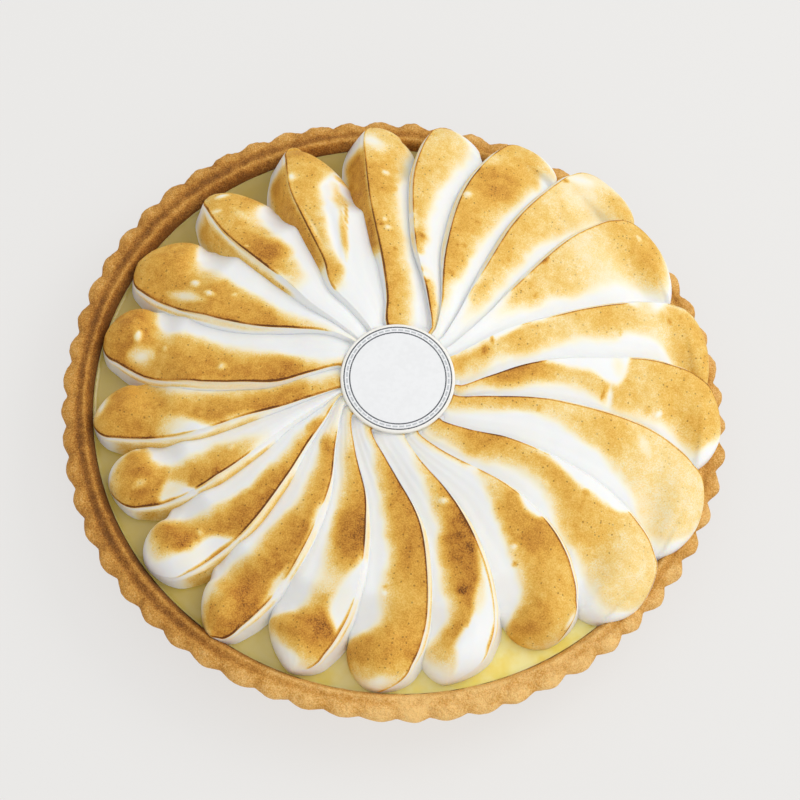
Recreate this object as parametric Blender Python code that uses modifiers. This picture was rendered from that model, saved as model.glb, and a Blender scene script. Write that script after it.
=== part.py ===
"""Lemon meringue pie: a fluted pastry case, its lemon filling, a piped meringue rosette and a plaque.

Metres, +Z up. The origin is at the middle of the base, and the pie stands on z = 0.
Azimuths are in degrees, counter-clockwise from +X as seen from above.
"""

import math
from typing import NamedTuple

import bmesh
import bpy
from mathutils import Matrix, Vector

MM = 0.001
GAP = 0.3 * MM  # what touching pieces keep between them

# Pastry case, as pressed in a 24 cm fluted tin.
RIM_RADIUS = 121 * MM  # over the flutes, at the rim
RIM_HEIGHT = 25 * MM
BASE_RADIUS = 113 * MM  # over the flutes, at the base
FLUTES = 60
FLUTE_AZIMUTH = 1.5  # of one groove between two flutes
FLUTE_POWER = 1.3  # above 1 the grooves are as round as the crowns
POINTS_PER_FLUTE = 4
FLOOR = 4 * MM
MOUTH_RADIUS = 109 * MM  # inside, at the level of the filling
FLOOR_RADIUS = 105 * MM  # inside, at the floor

# Lemon filling.
FILLING_LEVEL = 20 * MM
FILLING_STEPS = 120

# Meringue rosette.
MERINGUE_BASE = FILLING_LEVEL + GAP
CREST_HEIGHT = 44 * MM  # the petals' crests where they meet the plaque
CREST_DROP = 12 * MM  # how much lower they are at the rim
CREST_REACH = 90 * MM  # over this distance
ROOT_RADIUS = 17 * MM
ROOT_LEAN_REACH = 45 * MM  # how far out the crests follow the plaque's tilt
TIP_LENGTH = 10 * MM  # the rounded end of a petal
DOME_LENGTH = 13 * MM  # over which the end of a petal comes down
NOTCH_BLEND = 16 * MM  # over which the valley beside a petal runs out before its notch
FREE_BEFORE = 5 * MM  # a petal's side starts to round off this far before its notch
FREE_AFTER = 7 * MM  # and is round this far past it
SHOULDER_POWER = 2.6  # how square a petal's round shoulders and end are
POINTED = (1.2, 0.8)  # powers that shape the clockwise side of a pointed tip
BLUNT = (2.0, 0.5)  # and of a blunt one
ROLL_START = 72 * MM  # the edge rolls over from here
ROLL_END = 95 * MM  # to here
ROLL_ACROSS = (0.45, 1.15)  # the part of a petal's width that rolls with it
SIDE_HEIGHT = 0.6 * MM  # of a petal's low side where it lies free
TUCK = 2.5 * MM  # how far a petal runs in under its neighbour
EMERGING = 10 * MM  # over which it comes out from under it
ROOT_DROP = 2.5 * MM  # from a crest to the valley beside it, at the root
VALLEY_DROP = 4.5 * MM  # and further out
DROP_START = 25 * MM  # the valleys deepen from here
DROP_END = 65 * MM  # to here
UNDERCUT = 6 * MM  # below the base, trimmed off level
HUB_RADIUS = 21 * MM
HUB_STEPS = 48

# Plaque.
PLAQUE_RADIUS = 20.3 * MM
PLAQUE_THICKNESS = 1.6 * MM
PLAQUE_CENTRE = Vector((-0.5, -1.0, 44.6)) * MM
PLAQUE_TILT = 7.5  # degrees, lower towards -Y
PLAQUE_EDGE = 0.3 * MM
PLAQUE_STEPS = 64
PLAQUE_SEAT = 0.4 * MM  # how far the hub rises into the plaque's clearance before it is cut


class Petal(NamedTuple):
    """One piped petal. Its sharp edge is on the counter-clockwise side, over a wall.

    tip, start and edge are azimuths in degrees, reach and notch are in millimetres. The edge
    passes through one azimuth at each of EDGE_RADII and through edge_end at TIP_LENGTH from
    the end.
    """

    tip: float
    reach: float
    start: float  # where it comes out from under its clockwise neighbour
    notch: float  # radius at which it does
    fullness: float  # 0 for a pointed clockwise side, 1 for a blunt one
    lip_height: float  # the edge's share of the height near the tip
    edge: tuple
    edge_end: float
    wall_slope: float = 0.25  # run over rise of the wall under the edge


EDGE_RADII = tuple(r * MM for r in (22, 30, 42, 55, 75, 92))
PETALS = (
    Petal(2.5, 118.5, -5.8, 109.5, 0.4, 1, (0, 8, 14.5, 17, 16.5, 15.8), 13),
    Petal(20.5, 118, 10.8, 113.4, 0.2, 1, (31, 33, 34.5, 34, 32.5, 30.8), 28.5),
    Petal(41.5, 119.5, 28.8, 108.3, 0.3, 1, (40.5, 43, 46.5, 49.5, 51.5, 51.8), 50),
    Petal(56, 124.5, 47, 115.3, 1, 1, (52, 56, 60.5, 63, 65, 64.5), 62.5),
    Petal(72, 119.5, 64.3, 112.5, 0.4, 1, (62, 68, 75.5, 79.5, 81, 80), 77),
    Petal(87.2, 117.5, 79.2, 108, 0, 1, (66, 77, 86, 91, 93.5, 93.5), 91.5, 0.1),
    Petal(101.3, 115.5, 93, 101, 0.3, 1, (110, 106, 105, 105, 105.5, 105), 104.5, 0.45),
    Petal(118, 112, 108.3, 87.5, 0, 1, (128, 130, 132, 127.5, 125.5, 124), 121.5, 0.45),
    Petal(137.5, 109, 127.9, 89, 0, 0.9, (144, 145, 146, 144.5, 144.5, 143.3), 142, 0.4),
    Petal(158, 110, 147, 92.5, 0.6, 0.5, (149, 153.5, 161.5, 166.5, 168, 165.2), 164.7),
    Petal(175.5, 109, 166.8, 95.5, 0.9, 0.45, (177, 184, 190, 190, 188.5, 184), 181.5),
    Petal(193, 109, 185.5, 94, 0.4, 0.6, (199, 201, 203, 203.5, 204, 200), 198.8),
    Petal(207, 107.5, 200.8, 93.5, 1, 0.5, (204, 209, 213, 216.5, 218.5, 215.8), 215),
    Petal(224.8, 108.5, 218.2, 95, 0.9, 0.6, (206, 218, 226.5, 232, 235, 232.7), 232),
    Petal(242.5, 111, 235, 96.5, 0.3, 0.6, (216, 231, 244, 249, 250.5, 248.6), 246.8),
    Petal(258, 108.5, 250, 95, 0, 0.7, (228, 246, 260.5, 265.5, 267.5, 265.7), 264),
    Petal(274, 109, 267.3, 94, 0.7, 0.75, (251, 268, 280, 285, 285, 283.3), 281),
    Petal(286.7, 107, 282.3, 97.5, 0.4, 0.75, (282.5, 290, 298, 301, 301, 299), 297),
    Petal(308.8, 106, 301.5, 93, 0.9, 0.8, (296, 306, 316, 321, 322, 319.3), 317),
    Petal(324.5, 115, 316, 101, 0.8, 0.8, (321, 329, 337, 339.5, 340, 338.9), 335.5),
    Petal(345, 117, 334.7, 107, 0.8, 0.9, (349.5, 355, 359, 360.5, 360, 358.8), 354.8),
)
SECTION_RADII = tuple(r * MM for r in (27, 35, 44, 56, 70, 84))
ACROSS = (0.0, 0.1, 0.28, 0.52, 0.78, 1.0)  # places across a petal, clockwise side to edge


def ramp(value, low, high):
    """0 below low, 1 above high and a smooth rise between them."""
    part = min(max((value - low) / (high - low), 0.0), 1.0)
    return part * part * (3.0 - 2.0 * part)


def mix(first, second, share):
    return first + (second - first) * share


def polar(radius, azimuth, height):
    angle = math.radians(azimuth)
    return Vector((radius * math.cos(angle), radius * math.sin(angle), height))


def smooth_through(places, values, at):
    """The value at one place of a smooth curve through the given values."""
    last = len(places) - 1
    at = min(max(at, places[0]), places[last])
    span = next(k for k in range(last) if at <= places[k + 1])

    def slope(k):
        below, above = max(k - 1, 0), min(k + 1, last)
        return (values[above] - values[below]) / (places[above] - places[below])

    width = places[span + 1] - places[span]
    t = (at - places[span]) / width
    return (
        (2 * t**3 - 3 * t**2 + 1) * values[span]
        + (t**3 - 2 * t**2 + t) * width * slope(span)
        + (3 * t**2 - 2 * t**3) * values[span + 1]
        + (t**3 - t**2) * width * slope(span + 1)
    )


# ---------------------------------------------------------------------------------------
# Scene, materials and mesh tools
# ---------------------------------------------------------------------------------------


def clear_scene():
    for obj in list(bpy.data.objects):
        bpy.data.objects.remove(obj, do_unlink=True)


def collection(name):
    made = bpy.data.collections.new(name)
    bpy.context.scene.collection.children.link(made)
    return made


def material(name, colour, roughness, subsurface=0.0):
    made = bpy.data.materials.new(name)
    made.use_nodes = True
    shader = made.node_tree.nodes["Principled BSDF"]
    shader.inputs["Base Color"].default_value = (*colour, 1.0)
    shader.inputs["Roughness"].default_value = roughness
    shader.inputs["Metallic"].default_value = 0.0
    shader.inputs["Subsurface Weight"].default_value = subsurface
    return made


def mesh_object(name, bm, group, finish=None):
    """An object in group from bm, with its faces turned outwards."""
    mesh = bpy.data.meshes.new(name)
    bm.to_mesh(mesh)
    bm.free()
    obj = bpy.data.objects.new(name, mesh)
    group.objects.link(obj)
    if finish:
        mesh.materials.append(finish)
    return obj


def make_guide(obj):
    """Marks obj as a shape that only cuts or joins another."""
    obj.hide_render = True
    obj.display_type = "WIRE"


def loft(sections):
    """A closed body through sections, which are closed loops of equally many points."""
    bm = bmesh.new()
    loops = [[bm.verts.new(point) for point in section] for section in sections]
    for near, far in zip(loops, loops[1:]):
        for k, corner in enumerate(near):
            bm.faces.new((near[k - 1], corner, far[k], far[k - 1]))
    bm.faces.new(loops[0])
    bm.faces.new(loops[-1])
    bmesh.ops.triangulate(bm, faces=bm.faces)
    bmesh.ops.recalc_face_normals(bm, faces=bm.faces)
    return bm


def turned(name, profile, steps, group, finish=None):
    """A turned body. The profile's (radius, height) points run down its outer side."""
    bm = bmesh.new()
    points = [bm.verts.new((radius, 0.0, height)) for radius, height in profile]
    for upper, lower in zip(points, points[1:]):
        bm.edges.new((upper, lower))
    if profile[0][0] > 0.0:
        bm.edges.new((points[-1], points[0]))
    obj = mesh_object(name, bm, group, finish)
    screw = obj.modifiers.new("Turn", "SCREW")
    screw.steps = steps
    screw.render_steps = steps
    screw.use_merge_vertices = True
    screw.merge_threshold = 0.00001
    return obj


def shade_round(obj):
    """Smooth shading, with edges over 40 degrees left sharp."""
    obj.data.shade_smooth()
    obj.data.set_sharp_from_angle(angle=math.radians(40))


# ---------------------------------------------------------------------------------------
# Pastry case and filling
# ---------------------------------------------------------------------------------------


def flute(azimuth):
    """0 in a groove, 1 on the crown of a flute."""
    turn = (azimuth - FLUTE_AZIMUTH) * FLUTES / 360.0
    return abs(math.sin(math.pi * turn)) ** FLUTE_POWER


def case_ring(radius, height, groove):
    """One ring of the case. groove is how deep its grooves are at this ring."""
    count = FLUTES * POINTS_PER_FLUTE
    ring = []
    for k in range(count):
        azimuth = FLUTE_AZIMUTH + 360.0 * k / count
        ring.append(polar(radius - groove * (1.0 - flute(azimuth)), azimuth, height))
    return ring


def make_crust(group):
    """The case: a fluted wall that leans out, a rounded rim and a smooth inner lip."""
    sections = (
        case_ring(BASE_RADIUS, 0.0, 1.5 * MM),
        case_ring(RIM_RADIUS, RIM_HEIGHT - 4.0 * MM, 2.5 * MM),
        case_ring(RIM_RADIUS - 1.0 * MM, RIM_HEIGHT - 1.2 * MM, 2.3 * MM),
        case_ring(RIM_RADIUS - 4.5 * MM, RIM_HEIGHT, 0.6 * MM),
        case_ring(MOUTH_RADIUS + 1.8 * MM, RIM_HEIGHT - 0.4 * MM, 0.0),
        case_ring(MOUTH_RADIUS, FILLING_LEVEL, 0.0),
        case_ring(FLOOR_RADIUS, FLOOR, 0.0),
    )
    pastry = material("pastry", (0.58, 0.33, 0.12), 0.75)
    crust = mesh_object("crust", loft(sections), group, pastry)
    shade_round(crust)


def make_curd(group):
    """The filling, solid from the floor of the case to its level top."""
    lemon = material("lemon_filling", (0.76, 0.55, 0.10), 0.2, 0.3)
    profile = (
        (0.0, FILLING_LEVEL),
        (MOUTH_RADIUS - GAP, FILLING_LEVEL),
        (FLOOR_RADIUS - GAP, FLOOR + GAP),
        (0.0, FLOOR + GAP),
    )
    shade_round(turned("curd", profile, FILLING_STEPS, group, lemon))


# ---------------------------------------------------------------------------------------
# Meringue
# ---------------------------------------------------------------------------------------


def crest(radius, azimuth):
    """Height of the petals' crests: a low dome that follows the plaque's tilt near it."""
    out = (radius - PLAQUE_RADIUS) / CREST_REACH
    lean = math.tan(math.radians(PLAQUE_TILT)) * radius * math.sin(math.radians(azimuth))
    near = 1.0 - ramp(radius, PLAQUE_RADIUS, PLAQUE_RADIUS + ROOT_LEAN_REACH)
    return CREST_HEIGHT - CREST_DROP * out * out + lean * near


def edge_azimuth(petal, radius):
    """Azimuth of a petal's sharp edge at a radius, out to its tip."""
    reach = petal.reach * MM
    turn = reach - TIP_LENGTH
    if radius <= turn:
        return smooth_through(EDGE_RADII + (turn,), petal.edge + (petal.edge_end,), radius)
    part = min((radius - turn) / TIP_LENGTH, 1.0)
    return petal.tip + (petal.edge_end - petal.tip) * (1.0 - part * part) ** 0.6


def inner_azimuth(petal, neighbour, radius):
    """Azimuth of a petal's clockwise side, tucked under its neighbour or rounding its tip."""
    notch = petal.notch * MM
    if radius <= notch:
        tucked = edge_azimuth(neighbour, radius) - math.degrees(TUCK / radius)
        return mix(tucked, petal.start, ramp(radius, notch - EMERGING, notch))
    part = min((radius - notch) / (petal.reach * MM - notch), 1.0)
    power, root = (mix(*powers, petal.fullness) for powers in zip(POINTED, BLUNT))
    return petal.tip - (petal.tip - petal.start) * (1.0 - part**power) ** root


def rounded(part):
    """A round fall from 1 at 0 to 0 at 1."""
    return max(1.0 - part**SHOULDER_POWER, 0.0) ** (1 / SHOULDER_POWER)


def petal_height(petal, radius, across, azimuth):
    """Height of a petal's top above its base. across runs from 0, its low side, to 1."""
    notch, reach = petal.notch * MM, petal.reach * MM
    full = crest(radius, azimuth) - MERINGUE_BASE
    drop = mix(ROOT_DROP, VALLEY_DROP, ramp(radius, DROP_START, DROP_END))
    valley = (full - drop) * (1.0 - ramp(radius, notch - NOTCH_BLEND, notch))
    free = ramp(radius, notch - FREE_BEFORE, notch + FREE_AFTER)
    slope = mix(ramp(across, 0.0, 1.0), across, 0.2)
    height = valley + (full - valley) * mix(slope, rounded(1.0 - across), free) + SIDE_HEIGHT
    rolled = (1.0 - petal.lip_height) * ramp(radius, ROLL_START, ROLL_END)
    height *= 1.0 - rolled * ramp(across, *ROLL_ACROSS) / ramp(1.0, *ROLL_ACROSS)
    return height * rounded(max(radius - (reach - DOME_LENGTH), 0.0) / DOME_LENGTH)


def petal_section(petal, neighbour, radius, underside):
    """One closed section of a petal, along an arc at this radius."""
    low = inner_azimuth(petal, neighbour, radius)
    high = edge_azimuth(petal, radius)
    points = [polar(radius, low, underside)]
    for across in ACROSS:
        azimuth = mix(low, high, across)
        height = petal_height(petal, radius, across, azimuth)
        points.append(polar(radius, azimuth, MERINGUE_BASE + height))
    run = petal.wall_slope * (MERINGUE_BASE + height - underside)
    points.append(polar(radius, high + math.degrees(run / radius), underside))
    return points


def make_petal(index, group):
    """One petal, a loft of sections from under the plaque to its rounded tip."""
    petal = PETALS[index]
    neighbour = PETALS[index - 1]
    if index == 0:
        neighbour = neighbour._replace(
            tip=neighbour.tip - 360,
            start=neighbour.start - 360,
            edge=tuple(azimuth - 360 for azimuth in neighbour.edge),
            edge_end=neighbour.edge_end - 360,
        )
    reach = petal.reach * MM
    ends = [reach - DOME_LENGTH * (1.0 - math.sin(math.radians(turn))) for turn in (0, 25, 45, 65, 82)]
    radii = [ROOT_RADIUS] + [r for r in SECTION_RADII if r < ends[0] - 4 * MM] + ends
    underside = MERINGUE_BASE - UNDERCUT - index * 0.05 * MM
    sections = [petal_section(petal, neighbour, radius, underside) for radius in radii]
    obj = mesh_object(f"petal_{index:02d}", loft(sections), group)
    make_guide(obj)
    return obj


def plaque_matrix():
    """Places a shape made about the origin at the plaque's middle, tilted with it."""
    tilt = Matrix.Rotation(math.radians(PLAQUE_TILT), 4, "X")
    return Matrix.Translation(PLAQUE_CENTRE) @ tilt


def tilted_cylinder(name, radius, bottom, top, steps, group, finish=None):
    """A cylinder on the plaque's axis. bottom and top are measured along it from its middle."""
    bm = bmesh.new()
    bmesh.ops.create_cone(
        bm,
        cap_ends=True,
        segments=steps,
        radius1=radius,
        radius2=radius,
        depth=top - bottom,
        matrix=Matrix.Translation((0.0, 0.0, (top + bottom) / 2)),
    )
    obj = mesh_object(name, bm, group, finish)
    obj.matrix_world = plaque_matrix()
    return obj


def boolean(obj, name, operation, other):
    """Adds an exact Boolean with an object or a collection."""
    made = obj.modifiers.new(name, "BOOLEAN")
    made.operation = operation
    made.solver = "EXACT"
    if isinstance(other, bpy.types.Collection):
        made.operand_type = "COLLECTION"
        made.collection = other
    else:
        made.object = other


def make_meringue(group, cutters):
    """The petals joined round a hub, cut level below, clear of the case and of the plaque."""
    egg_white = material("meringue", (0.90, 0.86, 0.76), 0.6, 0.2)
    underside = -PLAQUE_THICKNESS / 2 - GAP
    hub_bottom = MERINGUE_BASE - UNDERCUT - PLAQUE_CENTRE.z
    meringue = tilted_cylinder(
        "meringue", HUB_RADIUS, hub_bottom, underside + PLAQUE_SEAT, HUB_STEPS, group, egg_white
    )
    petals = bpy.data.collections.new("petals")
    cutters.children.link(petals)
    for index in range(len(PETALS)):
        make_petal(index, petals)
    boolean(meringue, "Join petals", "UNION", petals)

    below = 4 * UNDERCUT
    slab = turned(
        "cut_base",
        (
            (0.0, MERINGUE_BASE),
            (RIM_RADIUS + 20 * MM, MERINGUE_BASE),
            (RIM_RADIUS + 20 * MM, MERINGUE_BASE - below),
            (0.0, MERINGUE_BASE - below),
        ),
        32,
        cutters,
    )
    make_guide(slab)
    boolean(meringue, "Cut level", "DIFFERENCE", slab)

    rim = turned(
        "cut_rim",
        (
            (MOUTH_RADIUS - GAP, MERINGUE_BASE - UNDERCUT),
            (MOUTH_RADIUS - 1.5 * GAP, FILLING_LEVEL),
            (MOUTH_RADIUS + 1.2 * MM, RIM_HEIGHT + GAP),
            (RIM_RADIUS + 8 * MM, RIM_HEIGHT + GAP),
            (RIM_RADIUS + 8 * MM, MERINGUE_BASE - UNDERCUT),
        ),
        FILLING_STEPS,
        cutters,
    )
    make_guide(rim)
    boolean(meringue, "Clear the rim", "DIFFERENCE", rim)

    seat = tilted_cylinder(
        "cut_plaque", PLAQUE_RADIUS + GAP, underside, 20 * MM, PLAQUE_STEPS, cutters
    )
    make_guide(seat)
    boolean(meringue, "Clear the plaque", "DIFFERENCE", seat)


def make_plaque(group):
    """The round plaque on the rosette's middle, with an eased edge."""
    sugar = material("plaque_white", (0.83, 0.84, 0.86), 0.45)
    half = PLAQUE_THICKNESS / 2
    plaque = tilted_cylinder("plaque", PLAQUE_RADIUS, -half, half, PLAQUE_STEPS, group, sugar)
    bevel = plaque.modifiers.new("Eased edge", "BEVEL")
    bevel.width = PLAQUE_EDGE
    bevel.segments = 1
    bevel.limit_method = "ANGLE"
    bevel.angle_limit = math.radians(60)


def main():
    clear_scene()
    pie = collection("lemon_meringue_pie")
    cutters = collection("cutters")
    make_crust(pie)
    make_curd(pie)
    make_meringue(pie, cutters)
    make_plaque(pie)


main()
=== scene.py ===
"""The looks of a lemon meringue pie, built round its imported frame.

Lengths are millimetres and angles degrees; meshes become metres as they are made. Azimuths run
counter-clockwise from +X as seen from above.
"""

from __future__ import annotations

import itertools
import logging
import math
from dataclasses import dataclass, replace
from enum import Enum

import bmesh
import bpy
import numpy as np
from mathutils import Matrix, Vector

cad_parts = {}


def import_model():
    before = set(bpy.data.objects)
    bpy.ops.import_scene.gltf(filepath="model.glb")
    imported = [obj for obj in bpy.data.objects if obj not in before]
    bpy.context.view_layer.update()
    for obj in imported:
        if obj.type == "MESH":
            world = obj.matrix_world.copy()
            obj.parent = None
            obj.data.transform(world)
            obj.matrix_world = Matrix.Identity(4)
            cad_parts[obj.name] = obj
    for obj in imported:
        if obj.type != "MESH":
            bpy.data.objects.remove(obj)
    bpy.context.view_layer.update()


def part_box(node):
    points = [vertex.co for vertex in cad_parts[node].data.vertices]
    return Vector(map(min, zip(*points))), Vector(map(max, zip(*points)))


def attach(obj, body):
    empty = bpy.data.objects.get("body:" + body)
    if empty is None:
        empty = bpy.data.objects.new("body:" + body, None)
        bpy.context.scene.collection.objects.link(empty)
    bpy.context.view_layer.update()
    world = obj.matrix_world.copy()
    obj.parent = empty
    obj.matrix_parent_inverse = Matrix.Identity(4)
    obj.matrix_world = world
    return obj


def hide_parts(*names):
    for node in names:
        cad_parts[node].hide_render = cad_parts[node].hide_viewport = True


MM = 0.001
LOG = logging.getLogger("pie")
ROOT_BODY = "root"

Array = np.ndarray
Colour = tuple[float, float, float]
Layers = tuple[tuple[float, float, int], ...]
Socket = bpy.types.NodeSocket


# ---------------------------------------------------------------------------------------
# Curves and noise
# ---------------------------------------------------------------------------------------


def ramp(value: Array | float, low: Array | float, high: Array | float) -> Array:
    """A smooth rise from 0 at low to 1 at high."""
    part = np.clip((value - low) / (high - low), 0.0, 1.0)
    return part * part * (3.0 - 2.0 * part)


def mix(first: Array | float, second: Array | float, share: Array | float) -> Array:
    """The blend of two values, all of the second where share is 1."""
    return first + (second - first) * share


def smooth_curve(places: tuple, values: tuple, at: Array) -> Array:
    """Reads a smooth curve that passes through given values.

    Args:
        places: Rising places along the curve.
        values: The curve's value at each place.
        at: Where to read it; beyond the ends the end values hold.

    Returns:
        The values there.
    """
    x, y = np.asarray(places, float), np.asarray(values, float)
    low, high = np.r_[0, np.arange(len(x) - 1)], np.r_[np.arange(1, len(x)), len(x) - 1]
    slopes = (y[high] - y[low]) / (x[high] - x[low])
    at = np.clip(at, x[0], x[-1])
    k = np.clip(np.searchsorted(x, at, side="right") - 1, 0, len(x) - 2)
    width = x[k + 1] - x[k]
    t = (at - x[k]) / width
    return (
        (2 * t**3 - 3 * t**2 + 1) * y[k]
        + (t**3 - 2 * t**2 + t) * width * slopes[k]
        + (3 * t**2 - 2 * t**3) * y[k + 1]
        + (t**3 - t**2) * width * slopes[k + 1]
    )


def value_noise(points: Array, size: float, seed: int) -> Array:
    """Smooth noise from -1 to 1.

    Args:
        points: Points, with their three coordinates last.
        size: Distance between one bump and the next.
        seed: Picks the pattern.

    Returns:
        One value for each point.
    """
    cells = points / size + 31.7 * seed
    base = np.floor(cells).astype(np.int64)
    part = cells - base
    part = part * part * (3.0 - 2.0 * part)
    total = np.zeros(points.shape[:-1])
    for corner in itertools.product((0, 1), repeat=3):
        at = base + np.array(corner)
        mixed = (at[..., 0] * 73856093) ^ (at[..., 1] * 19349663) ^ (at[..., 2] * 83492791)
        mixed = (mixed ^ (seed * 40503)) & 0xFFFFFFFF
        mixed = ((mixed ^ (mixed >> 13)) * 1274126177) & 0xFFFFFFFF
        mixed = ((mixed ^ (mixed >> 15)) * 2246822519) & 0xFFFFFFFF
        value = ((mixed ^ (mixed >> 16)) & 0xFFFF) / 32767.5 - 1.0
        total += value * np.prod(np.where(corner, part, 1.0 - part), axis=-1)
    return total


def layered_noise(points: Array, layers: Layers) -> Array:
    """Value noises added up, each layer given by its height, size and seed."""
    return sum(height * value_noise(points, size, seed) for height, size, seed in layers)


def cloud_noise(points: Array, size: float, seed: int, octaves: int = 3) -> Array:
    """Value noise with finer noise added at half the size and strength each time."""
    layers = (value_noise(points, size / 2**k, seed + k) / 2**k for k in range(octaves))
    return sum(layers) / (2.0 - 0.5 ** (octaves - 1))


def peak(value: Array, middle: float, width: float) -> Array:
    """A smooth peak of height 1 round a middle value."""
    return np.exp(-(((value - middle) / width) ** 2))


def polar(radius: Array, azimuth: Array, height: Array) -> Array:
    """Points from their radius, azimuth and height, broadcast together."""
    radius, azimuth, height = np.broadcast_arrays(radius, np.radians(azimuth), height)
    return np.stack((radius * np.cos(azimuth), radius * np.sin(azimuth), height), axis=-1)


# ---------------------------------------------------------------------------------------
# Meshes
# ---------------------------------------------------------------------------------------


def grid_piece(
    name: str, rows: Array, material: bpy.types.Material, masks: dict[str, Array] | None = None
) -> bpy.types.Object:
    """A closed body through rows of points, each row a closed loop.

    Args:
        name: The piece's name.
        rows: Points in millimetres, indexed by row and place in the row.
        material: Its finish.
        masks: Values for each point, kept on the mesh by name.

    Returns:
        The new object, with its ends closed and its faces turned outwards.
    """
    count, across = rows.shape[:2]
    index = np.arange(count * across).reshape(count, across)
    near, far = index[:-1], index[1:]
    quads = np.stack((near, np.roll(near, -1, 1), np.roll(far, -1, 1), far), axis=-1)
    faces = quads.reshape(-1, 4).tolist()
    faces += [index[0].tolist(), index[-1].tolist()]
    mesh = bpy.data.meshes.new(name)
    mesh.from_pydata((rows.reshape(-1, 3) * MM).tolist(), [], faces)
    for label, values in (masks or {}).items():
        attribute = mesh.attributes.new(label, "FLOAT", "POINT")
        attribute.data.foreach_set("value", np.ascontiguousarray(values, np.float32).ravel())
    bm = bmesh.new()
    bm.from_mesh(mesh)
    bmesh.ops.recalc_face_normals(bm, faces=bm.faces)
    bm.to_mesh(mesh)
    bm.free()
    mesh.shade_smooth()
    mesh.materials.append(material)
    piece = bpy.data.objects.new(name, mesh)
    bpy.context.scene.collection.objects.link(piece)
    return piece


def settle(piece: bpy.types.Object, node: str) -> None:
    """Fits a piece to the frame: it rides the pie and replaces a node.

    Args:
        piece: The piece.
        node: The frame's node that it replaces.
    """
    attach(piece, ROOT_BODY)
    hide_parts(node)
    LOG.info("%s: %d faces for %s", piece.name, len(piece.data.polygons), node)


# ---------------------------------------------------------------------------------------
# Shader tools and shared effects
# ---------------------------------------------------------------------------------------


class Bench:
    """A shader tree being laid out, one short call for each node."""

    def __init__(self, tree: bpy.types.NodeTree) -> None:
        """Works on the given tree."""
        self.tree = tree

    def add(self, kind: str, out: str | int, inputs: dict, **settings: object) -> Socket:
        """Adds a node.

        Args:
            kind: The node's type without its ShaderNode prefix.
            out: Which output to hand back.
            inputs: Values, or sockets to link, for its inputs.
            settings: Its own properties.

        Returns:
            The output.
        """
        node = self.tree.nodes.new("ShaderNode" + kind)
        for name, value in settings.items():
            setattr(node, name, value)
        for name, value in inputs.items():
            self.feed(node.inputs[name], value)
        return node.outputs[out]

    def feed(self, socket: Socket, value: object) -> None:
        """Links a socket to another, or sets its value.

        Args:
            socket: The input to feed.
            value: An output to link, a value, or None to leave it as it is.
        """
        if isinstance(value, Socket):
            self.tree.links.new(value, socket)
        elif value is not None:
            socket.default_value = value

    def sum(self, kind: str, first: object, second: object) -> Socket:
        """Two numbers put together by a Math node's operation."""
        return self.add("Math", 0, {0: first, 1: second}, operation=kind)

    def level(
        self, value: object, low: float, high: float, start: float = 0.0, end: float = 1.0
    ) -> Socket:
        """Maps a value's stretch from low to high smoothly onto start to end."""
        sockets = {"Value": value, "From Min": low, "From Max": high, "To Min": start, "To Max": end}
        return self.add("MapRange", 0, sockets, interpolation_type="SMOOTHSTEP")

    def blend(self, share: object, first: object, second: object) -> Socket:
        """The blend of two colours."""
        first, second = (c if isinstance(c, Socket) else (*c, 1.0) for c in (first, second))
        return self.add("Mix", 2, {0: share, 6: first, 7: second}, data_type="RGBA")

    def noise(self, where: object, size: object, detail: float = 2.0, rough: float = 0.5) -> Socket:
        """Cloudy noise from 0 to 1.

        Args:
            where: The place to read it at.
            size: The size of a bump in millimetres, or a socket with the bumps per metre.
            detail: How many finer layers it has.
            rough: How strong they are.

        Returns:
            The noise.
        """
        scale = size if isinstance(size, Socket) else 1.0 / (size * MM)
        sockets = {"Vector": where, "Scale": scale, "Detail": detail, "Roughness": rough}
        return self.add("TexNoise", 0, sockets)

    def colours(self, value: object, stops: tuple[tuple[float, Colour], ...]) -> Socket:
        """Reads a colour scale.

        Args:
            value: Where to read it, from 0 to 1.
            stops: The scale's places and colours.

        Returns:
            The colour.
        """
        node = self.tree.nodes.new("ShaderNodeValToRGB")
        scale = node.color_ramp
        for place, colour in stops[2:]:
            scale.elements.new(place)
        for element, (place, colour) in zip(scale.elements, stops):
            element.position = place
            element.color = (*colour, 1.0)
        self.feed(node.inputs[0], value)
        return node.outputs[0]

    def group(self, tree: bpy.types.NodeTree, out: str, inputs: dict) -> Socket:
        """Places a shared effect.

        Args:
            tree: The effect.
            out: Which of its outputs to hand back.
            inputs: Values, or sockets to link, for its inputs.

        Returns:
            The output.
        """
        node = self.tree.nodes.new("ShaderNodeGroup")
        node.node_tree = tree
        for name, value in inputs.items():
            self.feed(node.inputs[name], value)
        return node.outputs[out]


def shared_effect(
    name: str, inputs: dict[str, tuple[str, object]], outputs: tuple[str, ...]
) -> tuple[Bench, bpy.types.Node, bpy.types.Node]:
    """Starts a shader node group.

    Args:
        name: The group's name.
        inputs: For each input, its socket type and default.
        outputs: Names of its number outputs.

    Returns:
        The bench for its tree, and its input and output nodes.
    """
    tree = bpy.data.node_groups.new(name, "ShaderNodeTree")
    for label, (kind, default) in inputs.items():
        socket = tree.interface.new_socket(label, in_out="INPUT", socket_type=kind)
        if default is not None:
            socket.default_value = default
    for label in outputs:
        tree.interface.new_socket(label, in_out="OUTPUT", socket_type="NodeSocketFloat")
    return Bench(tree), tree.nodes.new("NodeGroupInput"), tree.nodes.new("NodeGroupOutput")


def srgb(red: int, green: int, blue: int) -> Colour:
    """A linear colour from the values of a display."""
    scaled = (value / 255.0 for value in (red, green, blue))
    return tuple(v / 12.92 if v <= 0.04045 else ((v + 0.055) / 1.055) ** 2.4 for v in scaled)


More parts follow.
